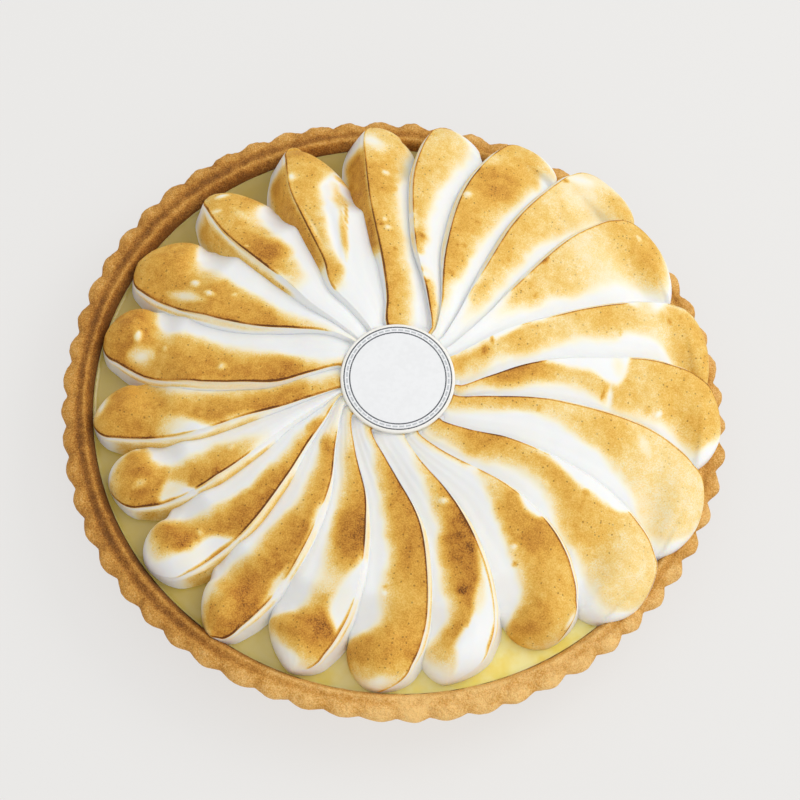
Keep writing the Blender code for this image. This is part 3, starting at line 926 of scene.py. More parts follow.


# Marks that run along across 1.0 are dark streaks at the sharp edge, partly torch browning and partly
# painted shade.
PETALS = (
    Petal(2.5, 118.5, -5.8, 109.5, 0.4, 1, (0, 8, 14.5, 17, 16.5, 15.8), 13,
          (0.78, 0.61, 0.57, 0.53, 0.42, 0.26, 0.22, 0.28, 0.2),
          (1.1, 1.1, 1.1, 0.82, 0.78, 0.58, 1.1, 1.1, 1.1),
          (0.6, 0.78, 0.72, 0.42, 0.36, 0.46, 0.34, 0.42, 0.46),
          (Mark(0.2, 75.6, 0.62, 76.4, 1.1, 0.0, -0.5), Mark(0.34, 72.8, 0.54, 74.2, 0.5, 0.75, -0.2),
           # The white spot from radius 93 to 95.5 is a painted highlight.
           Mark(0.3, 93, 0.4, 95.5, 0.8, 0.0, 0.3), Mark(0.29, 89, 0.38, 91, 1.2, 0.45),
           Mark(0.8, 80, 0.95, 80, 2.2, 0.1), Mark(0.0, 113, 0.12, 114, 3.0, 0.0),
           Mark(0.1, 51, 0.12, 51, 1.0, 0.6))),
    Petal(20.5, 118, 10.8, 113.4, 0.2, 1, (31, 33, 34.5, 34, 32.5, 30.8), 28.5,
          (0.5, 0.5, 0.44, 0.48, 0.57, 0.5, 0.58, 0.42, -0.2),
          (0.93, 0.88, 0.93, 0.97, 1.1, 1.1, 1.1, 0.85, 1.0),
          (0.62, 0.4, 0.46, 0.36, 0.32, 0.42, 0.44, 0.22, 0.46),
          (Mark(0.76, 32, 0.82, 32.5, 1.0, 0.8), Mark(0.85, 36, 0.97, 36.6, 0.7, 0.8),
           Mark(0.86, 97, 0.96, 98, 3.0, 0.22), Mark(0.25, 93, 0.22, 99, 2.2, 0.02),
           Mark(0.72, 105, 0.76, 105, 0.6, 0.7), Mark(0.5, 84, 0.6, 85, 0.6, 0.5))),
    Petal(41.5, 119.5, 28.8, 108.3, 0.3, 1, (40.5, 43, 46.5, 49.5, 51.5, 51.8), 50,
          (0.8, 0.78, 0.68, 0.54, 0.44, 0.39, 0.36, 0.34, 0.16),
          (1.0, 0.95, 0.86, 0.95, 1.0, 1.1, 1.1, 1.1, 1.1),
          (0.0, 0.0, 0.26, 0.42, 0.38, 0.34, 0.2, 0.22, 0.45),
          (Mark(0.38, 110, 0.66, 111, 4.0, 0.54), Mark(0.0, 108, 0.04, 115, 2.2, 0.0),
           Mark(0.97, 73, 0.98, 76, 0.8, 0.9, 0.4), Mark(0.6, 61, 0.66, 62, 0.9, 0.62),
           Mark(0.7, 113, 0.72, 113, 0.9, 0.15, 0.5))),
    Petal(56, 124.5, 47, 115.3, 1, 1, (52, 56, 60.5, 63, 65, 64.5), 62.5,
          (0.6, 0.46, 0.48, 0.5, 0.48, 0.45, 0.29, 0.22, 0.15),
          (0.8, 0.9, 0.93, 0.96, 1.0, 1.1, 1.1, 1.1, 1.1),
          (0.0, 0.2, 0.47, 0.5, 0.46, 0.43, 0.36, 0.3, 0.17),
          (Mark(-0.1, 117, 0.5, 117.5, 4.5, 0.55), Mark(0.85, 98, 0.9, 104, 2.6, 0.24),
           Mark(0.95, 111, 0.98, 111, 0.8, 0.85), Mark(0.66, 65, 0.68, 65, 0.8, 0.7),
           Mark(0.8, 117, 0.95, 114, 2.5, 0.03))),
    Petal(72, 119.5, 64.3, 112.5, 0.4, 1, (62, 68, 75.5, 79.5, 81, 80), 77,
          (0.9, 0.78, 0.58, 0.51, 0.45, 0.37, 0.33, 0.3, 0.28),
          (1.1, 1.1, 1.1, 1.1, 1.1, 1.1, 1.1, 1.1, 1.1),
          (0.05, 0.38, 0.55, 0.53, 0.5, 0.49, 0.56, 0.58, 0.42),
          (Mark(0.5, 92, 0.7, 98, 5.0, 0.66), Mark(0.92, 83.5, 0.93, 83.5, 1.3, 0.05, 0.7),
           Mark(0.1, 112.5, 0.5, 114, 2.5, 0.36), Mark(0.78, 46, 0.86, 47, 1.2, 0.72),
           Mark(0.6, 73.5, 0.61, 73.5, 0.9, 0.75), Mark(0.66, 61, 0.7, 60.5, 0.8, 0.75),
           Mark(0.8, 59.5, 0.81, 59.5, 0.8, 0.75), Mark(0.92, 107, 0.98, 100, 2.0, 0.3))),
    Petal(87.2, 117.5, 79.2, 108, 0, 1, (66, 77, 86, 91, 93.5, 93.5), 91.5,
          (0.62, 0.72, 0.82, 0.76, 0.7, 0.62, 0.5, 0.42, 0.3),
          (1.3, 1.3, 1.1, 0.98, 0.95, 1.1, 1.1, 1.1, 1.1),
          (0.64, 0.6, 0.0, 0.6, 0.45, 0.4, 0.4, 0.36, 0.34),
          (Mark(0.78, 59.5, 0.82, 60, 1.0, 0.85), Mark(0.92, 52, 1.02, 55, 1.6, 0.5),
           Mark(0.8, 39, 1.15, 36.6, 0.6, 0.85, 0.3), Mark(0.82, 42, 1.1, 41, 1.6, 0.0),
           Mark(1.0, 104, 1.0, 82, 0.5, 0.8)), 0.1),
    Petal(101.3, 115.5, 93, 101, 0.3, 1, (110, 106, 105, 105, 105.5, 105), 104.5,
          (0.58, 0.53, 0.5, 0.47, 0.44, 0.42, 0.35, 0.25, -0.1),
          (1.1, 1.1, 1.1, 1.1, 1.1, 1.1, 1.1, 1.1, 1.1),
          (0.52, 0.6, 0.57, 0.53, 0.5, 0.5, 0.58, 0.45, 0.4),
          (Mark(0.7, 103.5, 0.98, 107, 3.8, 0.0), Mark(0.64, 89.5, 0.65, 89.5, 1.2, 0.08, 0.7),
           Mark(0.72, 62.5, 0.74, 62.5, 1.4, 0.08, 0.7), Mark(0.77, 66.5, 0.78, 66.5, 0.8, 0.1, 0.5),
           Mark(0.82, 64, 0.9, 64, 0.5, 0.85), Mark(0.66, 52.5, 0.67, 52.5, 0.8, 0.8),
           Mark(0.5, 82, 0.7, 81, 1.4, 0.6)), 0.45, 0.74),
    Petal(118, 112, 108.3, 87.5, 0, 1, (128, 130, 132, 127.5, 125.5, 124), 121.5,
          (0.9, 0.86, 0.8, 0.84, 0.76, 0.72, 0.52, 0.02, -0.2),
          (1.1, 1.1, 1.1, 1.1, 1.1, 1.1, 1.1, 1.1, 1.1),
          (0.0, 0.0, 0.6, 0.52, 0.5, 0.5, 0.48, 0.5, 0.5),
          (Mark(0.3, 87, 0.46, 77, 2.6, 0.42), Mark(0.46, 77, 0.66, 50, 1.3, 0.5, 0.5),
           Mark(0.34, 82, 0.5, 64, 0.6, 0.72), Mark(0.3, 88.5, 0.6, 81, 1.5, 0.0, -0.6),
           Mark(0.6, 81, 0.76, 52, 1.7, 0.0, -0.8), Mark(0.88, 47, 0.96, 46, 3.0, 0.6),
           Mark(0.93, 94, 0.94, 95, 1.6, 0.0, 0.5), Mark(0.95, 80, 0.9, 58, 0.8, 0.2, -0.5),
           Mark(0.05, 90, 0.14, 91, 1.8, 0.62), Mark(0.5, 108, 0.8, 106, 3.0, 0.72)), 0.45, 0.68),
    Petal(137.5, 109, 127.9, 89, 0, 0.9, (144, 145, 146, 144.5, 144.5, 143.3), 142,
          (0.7, 0.7, 0.68, 0.62, 0.57, 0.55, 0.42, -0.2, -0.2),
          (1.1, 1.1, 1.1, 0.97, 1.1, 1.1, 1.1, 1.1, 1.1),
          (0.0, 0.0, 0.0, 0.45, 0.72, 0.6, 0.48, 0.5, 0.36),
          (Mark(0.62, 67, 0.8, 73, 3.5, 0.8), Mark(0.05, 95, 0.28, 94, 3.0, 0.72),
           Mark(0.42, 101.5, 0.64, 102.5, 1.2, 0.0, 0.5), Mark(0.58, 88, 0.62, 91, 1.8, 0.25),
           Mark(0.82, 97, 0.94, 98.5, 1.3, 0.05, 0.3), Mark(0.93, 77, 0.96, 78, 0.8, 0.2),
           Mark(1.0, 99, 1.0, 78, 0.6, 0.9)), 0.4, 0.5),
    Petal(158, 110, 147, 92.5, 0.6, 0.5, (149, 153.5, 161.5, 166.5, 168, 165.2), 164.7,
          (0.98, 0.84, 0.7, 0.56, 0.5, 0.49, 0.44, -0.1, -0.2),
          (1.2, 1.2, 1.1, 1.1, 1.1, 1.1, 1.1, 1.1, 1.1),
          (0.1, 0.62, 0.68, 0.68, 0.65, 0.62, 0.56, 0.6, 0.5),
          (Mark(0.8, 53, 0.95, 58, 3.0, 0.7), Mark(0.82, 76, 0.89, 93, 1.9, 0.06),
           Mark(0.68, 83.5, 0.69, 84.5, 1.2, 0.0, 0.8), Mark(0.73, 75, 0.74, 78, 1.0, 0.05, 0.6),
           Mark(0.62, 68, 0.63, 68.5, 0.8, 0.15, 0.4), Mark(0.53, 74, 0.6, 70, 2.0, 0.6),
           Mark(1.0, 106, 1.0, 84, 0.6, 0.9), Mark(1.0, 84, 1.0, 62, 0.5, 0.8))),
    Petal(175.5, 109, 166.8, 95.5, 0.9, 0.45, (177, 184, 190, 190, 188.5, 184), 181.5,
          (0.92, 0.69, 0.55, 0.51, 0.43, 0.4, 0.43, -0.2, -0.2),
          (1.1, 1.1, 1.1, 1.1, 1.1, 1.1, 1.1, 1.1, 1.1),
          (0.55, 0.74, 0.72, 0.64, 0.62, 0.62, 0.52, 0.72, 0.6),
          (Mark(0.76, 90, 0.86, 96, 2.6, 0.02, 0.3), Mark(0.56, 95, 0.62, 95.3, 1.2, 0.0, 0.9),
           Mark(0.76, 63, 0.78, 63, 1.2, 0.1, 0.7), Mark(0.64, 84.5, 0.65, 84.5, 0.9, 0.12, 0.5),
           Mark(0.8, 69, 0.81, 69, 0.6, 0.7), Mark(0.78, 41, 0.94, 36, 2.4, 0.78),
           Mark(1.0, 107, 1.0, 92, 0.6, 0.9), Mark(0.4, 97.5, 0.55, 98, 1.5, 0.62),
           Mark(1.0, 90, 1.0, 70, 0.4, 0.7))),
    Petal(193, 109, 185.5, 94, 0.4, 0.6, (199, 201, 203, 203.5, 204, 200), 198.8,
          (0.65, 0.48, 0.37, 0.34, 0.32, 0.3, 0.08, -0.2, 0.2),
          (1.0, 1.1, 1.1, 1.0, 0.92, 0.78, 1.1, 1.1, 1.1),
          (0.55, 0.76, 0.72, 0.66, 0.62, 0.58, 0.6, 0.66, 0.52),
          (Mark(0.6, 36, 0.9, 42, 4.0, 0.76), Mark(0.78, 78, 0.92, 85, 3.0, 0.12),
           Mark(0.1, 104.5, 0.45, 106, 2.0, 0.0), Mark(1.0, 107, 1.0, 90, 0.6, 0.9),
           Mark(0.64, 73, 0.65, 73, 0.8, 0.7), Mark(0.46, 85, 0.47, 85, 0.8, 0.65),
           Mark(1.0, 90, 1.0, 74, 0.5, 0.7)), 0.25, 0.36),
    Petal(207, 107.5, 200.8, 93.5, 1, 0.5, (204, 209, 213, 216.5, 218.5, 215.8), 215,
          (0.8, 0.8, 0.75, 0.68, 0.54, 0.53, 0.58, 0.03, 0.4),
          (1.0, 1.0, 1.0, 0.98, 1.1, 1.1, 0.8, 1.1, 1.1),
          (0.0, 0.0, 0.0, 0.3, 0.58, 0.62, 0.64, 0.7, 0.4),
          (Mark(0.12, 93, 0.45, 94.5, 2.2, 0.66), Mark(0.86, 84, 0.9, 93, 2.0, 0.12),
           Mark(0.93, 73, 0.98, 73.5, 1.2, 0.88, 0.3), Mark(1.0, 105, 1.0, 84, 0.6, 0.9),
           Mark(0.66, 64, 0.67, 65, 1.0, 0.2, 0.4), Mark(0.6, 88, 0.68, 93, 1.6, 0.62),
           Mark(0.68, 96, 0.72, 100, 1.2, 0.25, 0.2), Mark(0.05, 99, 0.1, 103, 2.0, 0.1)),
          0.25, 0.42),
    Petal(224.8, 108.5, 218.2, 95, 0.9, 0.6, (206, 218, 226.5, 232, 235, 232.7), 232,
          (0.86, 0.79, 0.7, 0.64, 0.56, 0.51, 0.47, 0.06, 0.3),
          (1.1, 1.1, 1.1, 1.1, 1.1, 1.1, 0.74, 0.72, 0.5),
          (0.55, 0.72, 0.74, 0.74, 0.74, 0.7, 0.7, 0.74, 0.0),
          (Mark(0.66, 89, 0.67, 89, 1.2, 0.12, 0.6), Mark(1.0, 104, 1.0, 76, 0.8, 0.8),
           Mark(0.4, 93.5, 0.41, 93.5, 0.8, 0.75), Mark(0.8, 37, 0.95, 33, 2.0, 0.66),
           Mark(0.85, 90, 0.84, 101, 2.4, 0.04)), 0.25, 0.45),
    Petal(242.5, 111, 235, 96.5, 0.3, 0.6, (216, 231, 244, 249, 250.5, 248.6), 246.8,
          (0.7, 0.6, 0.63, 0.58, 0.48, 0.42, 0.38, 0.28, 0.0),
          (1.1, 1.1, 0.97, 0.97, 0.99, 0.97, 0.9, 1.1, 1.1),
          (0.1, 0.72, 0.64, 0.66, 0.74, 0.68, 0.7, 0.8, 0.74),
          (Mark(0.68, 36, 0.9, 37, 2.4, 0.72), Mark(0.92, 78, 0.96, 93, 1.0, 0.12),
           Mark(1.0, 109, 1.0, 93, 0.7, 0.9), Mark(0.5, 77.5, 0.51, 77.5, 0.7, 0.7),
           Mark(0.35, 97, 0.6, 104, 4.0, 0.64), Mark(0.05, 100, 0.2, 99, 3.0, 0.12))),
    Petal(258, 108.5, 250, 95, 0, 0.7, (228, 246, 260.5, 265.5, 267.5, 265.7), 264,
          (0.8, 0.6, 0.48, 0.44, 0.44, 0.46, 0.48, 0.02, 0.5),
          (1.1, 1.1, 1.1, 1.1, 0.97, 0.8, 0.77, 1.1, 1.0),
          (0.35, 0.62, 0.72, 0.78, 0.72, 0.2, 0.7, 0.7, 0.1),
          (Mark(0.6, 57, 0.8, 66, 4.0, 0.8), Mark(0.86, 78, 0.88, 90, 2.0, 0.04),
           Mark(0.12, 96.5, 0.45, 96, 2.6, 0.62), Mark(1.0, 106, 1.0, 82, 0.7, 0.85),
           Mark(0.0, 105, 0.5, 106.5, 1.6, 0.03))),
    Petal(274, 109, 267.3, 94, 0.7, 0.75, (251, 268, 280, 285, 285, 283.3), 281,
          (0.85, 0.6, 0.49, 0.5, 0.5, 0.45, 0.43, -0.2, 0.0),
          (1.2, 1.1, 1.1, 1.1, 1.1, 1.1, 1.1, 1.1, 1.1),
          (0.62, 0.74, 0.73, 0.7, 0.66, 0.58, 0.54, 0.66, 0.2),
          (Mark(0.08, 97, 0.32, 98, 3.4, 0.7), Mark(0.2, 107.5, 0.7, 107.5, 1.6, 0.04),
           Mark(0.44, 78.5, 0.45, 79, 0.8, 0.0, 0.3), Mark(0.44, 76.5, 0.45, 76.5, 0.5, 0.75),
           Mark(0.72, 69.5, 0.78, 69.5, 0.5, 0.75),
           Mark(1.0, 107, 1.0, 80, 0.6, 0.8))),
    Petal(286.7, 107, 282.3, 97.5, 0.4, 0.75, (282.5, 290, 298, 301, 301, 299), 297,
          (0.98, 0.84, 0.64, 0.51, 0.43, 0.38, 0.43, 0.1, 0.3),
          (1.2, 1.2, 1.1, 1.1, 0.97, 0.88, 0.68, 0.45, 0.5),
          (0.35, 0.62, 0.74, 0.8, 0.84, 0.78, 0.66, 0.5, 0.0),
          (Mark(0.56, 80, 0.6, 80.3, 1.3, 0.95), Mark(0.79, 48.5, 0.82, 48.5, 1.5, 0.05, 0.8),
           Mark(0.62, 93, 0.66, 84, 1.0, 0.7), Mark(1.0, 104, 1.0, 92, 1.0, 0.7),
           Mark(1.0, 96, 1.0, 62, 0.5, 0.66),
           Mark(0.55, 68, 0.7, 60, 4.0, 0.84), Mark(0.78, 88, 0.88, 80, 2.0, 0.15))),
    Petal(308.8, 106, 301.5, 93, 0.9, 0.8, (296, 306, 316, 321, 322, 319.3), 317,
          (0.94, 0.94, 0.82, 0.6, 0.47, 0.44, 0.36, -0.2, -0.2),
          (1.3, 1.3, 1.0, 0.97, 0.93, 1.1, 1.1, 1.1, 1.1),
          (0.5, 0.42, 0.3, 0.56, 0.66, 0.62, 0.5, 0.5, 0.35),
          (Mark(0.1, 98, 0.36, 97, 4.0, 0.74), Mark(0.96, 38.2, 1.1, 37.6, 0.6, 0.7),
           Mark(0.88, 42, 1.1, 42, 2.0, 0.0), Mark(0.49, 73, 0.5, 73, 1.0, 0.05, 0.6),
           Mark(0.42, 78, 0.43, 78, 0.7, 0.8), Mark(0.57, 69, 0.58, 69, 0.7, 0.75),
           Mark(0.85, 104, 0.98, 103, 1.2, 0.05), Mark(1.0, 103, 1.0, 76, 0.6, 0.85))),
    Petal(324.5, 115, 316, 101, 0.8, 0.8, (321, 329, 337, 339.5, 340, 338.9), 335.5,
          (0.62, 0.48, 0.52, 0.57, 0.43, 0.2, 0.22, 0.24, 0.12),
          (1.1, 1.1, 0.98, 0.92, 0.84, 0.82, 0.86, 1.1, 1.1),
          (0.62, 0.68, 0.5, 0.48, 0.48, 0.48, 0.42, 0.27, 0.24),
          (Mark(0.78, 77, 0.8, 77.5, 1.0, 0.7), Mark(0.64, 37, 0.9, 33, 3.4, 0.68),
           Mark(0.7, 58, 0.95, 55, 0.5, 0.65), Mark(0.54, 64, 0.55, 64.5, 0.9, 0.2, 0.4),
           Mark(0.0, 110, 0.1, 113, 1.6, 0.0), Mark(0.4, 84, 0.55, 80, 3.5, 0.52))),
    Petal(345, 117, 334.7, 107, 0.8, 0.9, (349.5, 355, 359, 360.5, 360, 358.8), 354.8,
          (0.7, 0.72, 0.77, 0.65, 0.55, 0.46, 0.32, 0.15, 0.12),
          (1.1, 1.1, 1.1, 1.1, 1.1, 1.1, 1.1, 1.1, 1.1),
          (0.52, 0.6, 0.42, 0.3, 0.38, 0.42, 0.28, 0.23, 0.23),
          (Mark(0.75, 91, 0.85, 89, 2.2, 0.12), Mark(0.78, 50.5, 0.84, 50.5, 0.7, 0.6),
           Mark(1.0, 92, 1.0, 45, 0.4, 0.72), Mark(0.0, 112, 0.1, 113, 1.4, 0.0))),
)


@dataclass
class MeringueRosette:
    """Twenty-one petals piped round a heart, each running in under its clockwise neighbour."""

    case: PastryCase
    level: float
    plaque: Plaque
    crest_height: float = 44.0
    crest_drop: float = 12.0
    crest_reach: float = 90.0
    root_radius: float = 17.0
    lean_reach: float = 45.0
    tip_length: float = 10.0
    dome_length: float = 13.0
    notch_blend: float = 16.0
    tuck: float = 2.5
    emerging: float = 10.0
    side_height: float = 0.6
    foot_depth: float = 1.8
    foot_width: float = 2.2
    line_width: float = 0.7
    edge_easing: float = 6.0
    easing_steps: int = 7
    roundness: float = 2.6
    fold_height: float = 0.1
    folds: float = 5.0
    waves: tuple[tuple[float, float], ...] = ((0.35, 13.0), (0.14, 5.0))
    relief_height: float = 4.0
    ledge_top: float = 0.8
    ledge_foot: float = 1.9
    line_down: float = 0.9
    band_foot: float = 15.0
    edge_radii: tuple[float, ...] = (22, 30, 42, 55, 75, 92)
    brown_radii: tuple[float, ...] = (28, 38, 48, 58, 68, 78, 88, 98, 108)
    stations: int = 120
    tip_stations: int = 34
    columns: int = 46
    wall_rows: int = 16

    def crest(self, radius: Array, azimuth: Array) -> Array:
        """Height of the crests: a low dome that follows the plaque's tilt near it.

        Args:
            radius: Radii of the places.
            azimuth: Their azimuths.

        Returns:
            The height at each.
        """
        start = self.plaque.radius
        out = (radius - start) / self.crest_reach
        lean = math.tan(math.radians(self.plaque.tilt)) * radius * np.sin(np.radians(azimuth))
        near = 1.0 - ramp(radius, start, start + self.lean_reach)
        return self.crest_height - self.crest_drop * out * out + lean * near

    def under(self, radius: Array) -> Array:
        """Height of what a petal rests on: the filling, then the case's rim."""
        on_rim = ramp(radius, self.case.mouth_radius - 1.5, self.case.mouth_radius + 1.8)
        return mix(self.level - 0.2, self.case.top_height(radius) - 0.2, on_rim)

    def edge(self, petal: Petal, radius: Array) -> Array:
        """Azimuth of a petal's sharp edge, eased where it turns in to the tip.

        Args:
            petal: The petal.
            radius: Radii to read it at.

        Returns:
            The azimuth at each.
        """
        turn = petal.reach - self.tip_length
        spread = self.edge_easing * ramp(radius, 50.0, 70.0) * (1.0 - ramp(radius, turn, petal.reach))
        steps = np.linspace(-1.0, 1.0, self.easing_steps)
        return sum(self.plain_edge(petal, radius + spread * step) for step in steps) / len(steps)

    def plain_edge(self, petal: Petal, radius: Array) -> Array:
        """Azimuth of a petal's sharp edge through its given places.

        Args:
            petal: The petal.
            radius: Radii to read it at.

        Returns:
            The azimuth at each.
        """
        turn = petal.reach - self.tip_length
        along = smooth_curve(self.edge_radii + (turn,), petal.edge + (petal.edge_end,), radius)
        part = np.clip((radius - turn) / self.tip_length, 0.0, 1.0)
        closing = petal.tip + (petal.edge_end - petal.tip) * (1.0 - part * part) ** 0.6
        return np.where(radius > turn, closing, along)

    def side(self, petal: Petal, neighbour: Petal, radius: Array) -> Array:
        """Azimuth of a petal's clockwise side.

        Args:
            petal: The petal.
            neighbour: The petal that it comes out from under.
            radius: Radii to read it at.

        Returns:
            The azimuth at each.
        """
        inside = np.minimum(radius, petal.notch)
        tucked = self.edge(neighbour, inside) - np.degrees(self.tuck / inside)
        tucked = mix(tucked, petal.start, ramp(radius, petal.notch - self.emerging, petal.notch))
        part = np.clip((radius - petal.notch) / (petal.reach - petal.notch), 0.0, 1.0)
        power, root = 1.2 + 0.8 * petal.fullness, 0.8 - 0.3 * petal.fullness
        rounded = petal.tip - (petal.tip - petal.start) * (1.0 - part**power) ** root
        return np.where(radius > petal.notch, rounded, tucked)

    def browning(self, petal: Petal, radius: Array, across: Array, width: Array) -> tuple[Array, Array]:
        """How brown a petal's top is, with a painted shade streak along its sharp edge, and how far its
        marks raise it.

        Args:
            petal: The petal.
            radius: Radii of the places.
            across: Their shares across the petal.
            width: The petal's width at each radius, in millimetres.

        Returns:
            Browning and height.
        """
        places = np.stack(np.broadcast_arrays(across * width, radius, petal.tip), axis=-1)
        ragged = 1.0 * value_noise(places, 8.0, 41) + 0.5 * value_noise(places, 2.6, 42)
        soft = 3.4 + 1.4 * value_noise(places, 14.0, 43)
        start = smooth_curve(self.brown_radii, petal.brown_from, radius)
        stop = smooth_curve(self.brown_radii, petal.brown_to, radius)
        brown = np.clip(smooth_curve(self.brown_radii, petal.brown, radius), 0.0, 1.0)
        inside = (across - start) * width + ragged
        brown = brown * ramp(inside, -soft, soft) * mix(0.84, 1.06, ramp(inside, 1.0, 8.0))
        brown = brown * ramp((stop - across) * width + ragged, -0.6 * soft, 0.6 * soft)
        # A darker streak along the sharp edge: torch browning with painted shade.
        line = ramp((across - 1.0) * width, -self.line_width, -0.3 * self.line_width)
        brown = brown + (petal.lip + 0.25) * line * ramp(brown, 0.06, 0.25)
        raised = np.zeros_like(brown)
        for mark in petal.marks:
            middle = (mark.radius + mark.end_radius) / 2
            wide = float(np.interp(middle, radius[:, 0], width[:, 0]))
            weight = mark.weight(across, radius, wide, ragged)
            brown = mix(brown, mark.brown, 0.9 * weight)
            raised += mark.bump * weight
        return brown, raised

    def radii(self, petal: Petal) -> Array:
        """The radii of a petal's rows, closest together at the plaque's rim and at the tip.

        Args:
            petal: The petal.

        Returns:
            One column of radii.
        """
        dome = petal.reach - self.dome_length
        seat = self.plaque.radius + 2.2
        ends = np.sin(np.radians(np.linspace(0.0, 86.0, self.tip_stations)))
        return np.r_[
            self.root_radius,
            np.linspace(self.plaque.radius - 1.8, seat, 20, endpoint=False),
            np.linspace(seat, dome, self.stations, endpoint=False),
            dome + self.dome_length * ends,
        ][:, None]

    def shares(self) -> Array:
        """The shares across a petal of its columns, closest together at its sides."""
        eased = 0.5 - 0.5 * np.cos(np.linspace(0.0, math.pi, self.columns))
        return mix(np.linspace(0.0, 1.0, self.columns), eased, 0.6)[None, :]

    def end(self, petal: Petal, radius: Array) -> Array:
        """How far along the dome at a petal's tip each radius is, from 0 to 1."""
        return np.clip((radius - (petal.reach - self.dome_length)) / self.dome_length, 0.0, 1.0)

    def loft(self, petal: Petal, radius: Array, across: Array, full: Array) -> tuple[Array, Array]:
        """How high a petal stands over what it rests on.

        Args:
            petal: The petal.
            radius: Radii of its rows.
            across: Shares across it of its columns.
            full: The crest's height at each place.

        Returns:
            The height at each place, and that of the valley along the clockwise side.
        """
        power = self.roundness
        drop = mix(2.5, 4.5, ramp(radius, 25.0, 65.0))
        valley = (full - drop) * (1.0 - ramp(radius, petal.notch - self.notch_blend, petal.notch))
        free = ramp(radius, petal.notch - 12.0, petal.notch + 3.0)
        slope = 0.86 * ramp(across, 0.0, 0.92) + 0.14 * across
        shoulder = (1.0 - (1.0 - across) ** power) ** (1 / power)
        height = valley + (full - valley) * mix(slope, shoulder, free) + self.side_height
        rolled = (1.0 - petal.lip_height) * ramp(radius, 72.0, 95.0)
        height = height * (1.0 - rolled * ramp(across, 0.45, 1.15) / ramp(1.0, 0.45, 1.15))
        return height * (1.0 - self.end(petal, radius) ** power) ** (1 / power), valley

    def creases(self, index: int, top: Array, across: Array) -> Array:
        """The waves of a petal's top and the folds that the piping leaves along it.

        Args:
            index: The petal's place in PETALS, which picks the pattern.
            top: Points of its top.
            across: Shares across it of its columns.

        Returns:
            How far each point is raised.
        """
        layers = ((high, size, 30 * (k + 1) + index) for k, (high, size) in enumerate(self.waves))
        bend = 0.6 * value_noise(top, 30.0, 90 + index)
        folds = self.fold_height * np.sin(2 * math.pi * (across * self.folds + bend))
        return layered_noise(top, tuple(layers)) + folds * (1.0 - across)

    def foot(self, across: Array, width: Array, radius: Array, valley: Array) -> Array:
        """Depth of the groove at the foot of the neighbour's wall.

        Args:
            across: Shares across the petal of its columns.
            width: Its width at each radius.
            radius: Radii of its rows.
            valley: Height of its valley.

        Returns:
            The depth at each place.
        """
        away = (across * width - self.tuck * 0.7) / self.foot_width
        groove = self.foot_depth * np.exp(-away * away) * ramp(valley, 1.0, 8.0)
        return groove * mix(0.35, 1.0, ramp(radius, 32.0, 60.0))

    def wall(
        self, petal: Petal, radius: Array, high: Array, base: Array, lip_height: Array, lip: Array
    ) -> tuple[Array, Array]:
        """The wall under a petal's sharp edge, with the ledge that the piping leaves on it.

        Args:
            petal: The petal.
            radius: Radii of its rows.
            high: Azimuth of the edge at each.
            base: Height of what the edge stands over.
            lip_height: The edge's height over that.
            lip: Browning of the edge, with its painted shade streak.

        Returns:
            The wall's points and their browning, with a painted shade streak under the edge.
        """
        share = (np.arange(1, self.wall_rows + 1) / self.wall_rows)[None, :] ** 1.6
        down = lip_height * share
        ledge = (1.0 - self.end(petal, radius)) * ramp(radius, 40.0, 60.0)
        step = ramp(down, self.ledge_top, self.ledge_foot) - 0.3 * peak(down, 0.6, 0.3)
        out = petal.wall_slope * down + ledge * step
        wall = polar(radius, high + np.degrees(out / radius), base + lip_height - down)
        start = mix(1.6, 0.1, ramp(petal.wall_brown, 0.5, 0.66))
        faded = 1.0 - ramp(down, 9.0, self.band_foot)
        band = petal.wall_brown * ramp(down, start, start + 1.2) * faded
        band = band * ramp(radius, 48.0, 56.0) * (1.0 - ramp(radius, 98.0, 105.0))
        # The darker streak just under the edge: browning with painted shade.
        line = (lip + petal.lip) * (1.0 - ramp(down, 0.2, self.line_down)) * ramp(lip, 0.05, 0.3)
        second = 0.42 * np.minimum(lip, 0.8) * peak(down, self.ledge_foot, 0.5) * ledge
        return wall, np.maximum(np.maximum(band, line), second)

    def build_petal(self, index: int, material: bpy.types.Material) -> bpy.types.Object:
        """Makes one petal.

        Args:
            index: Its place in PETALS.
            material: The meringue's finish.

        Returns:
            The piece.
        """
        petal = PETALS[index]
        neighbour = PETALS[index - 1] if index else PETALS[-1].turned(-360.0)
        radius, across = self.radii(petal), self.shares()
        low, high = self.side(petal, neighbour, radius), self.edge(petal, radius)
        azimuth, width = mix(low, high, across), np.radians(high - low) * radius
        base = self.under(radius)
        height, valley = self.loft(petal, radius, across, self.crest(radius, azimuth) - base)
        top = polar(radius, azimuth, base + height)
        held = np.clip(height / self.relief_height, 0.0, 1.0)
        top[..., 2] += self.creases(index, top, across) * held
        brown, raised = self.browning(petal, radius, across, width)
        top[..., 2] += (raised - self.foot(across, width, radius, valley)) * held

        lip_height = top[:, -1, 2][:, None] - base
        wall, wall_brown = self.wall(petal, radius, high, base, lip_height, brown[:, -1:])
        floor = np.stack((wall[:, -1], top[:, 0]), axis=1)
        floor[..., 2] = base
        rows = np.concatenate((top, wall, floor), axis=1)
        rows[..., 2] = self.plaque.clear(rows)
        mask = np.concatenate((brown, wall_brown, np.zeros((len(radius), 2))), axis=1)
        return grid_piece(f"meringue_petal_{index:02d}", rows, material, {"toast_and_painted_light": mask})

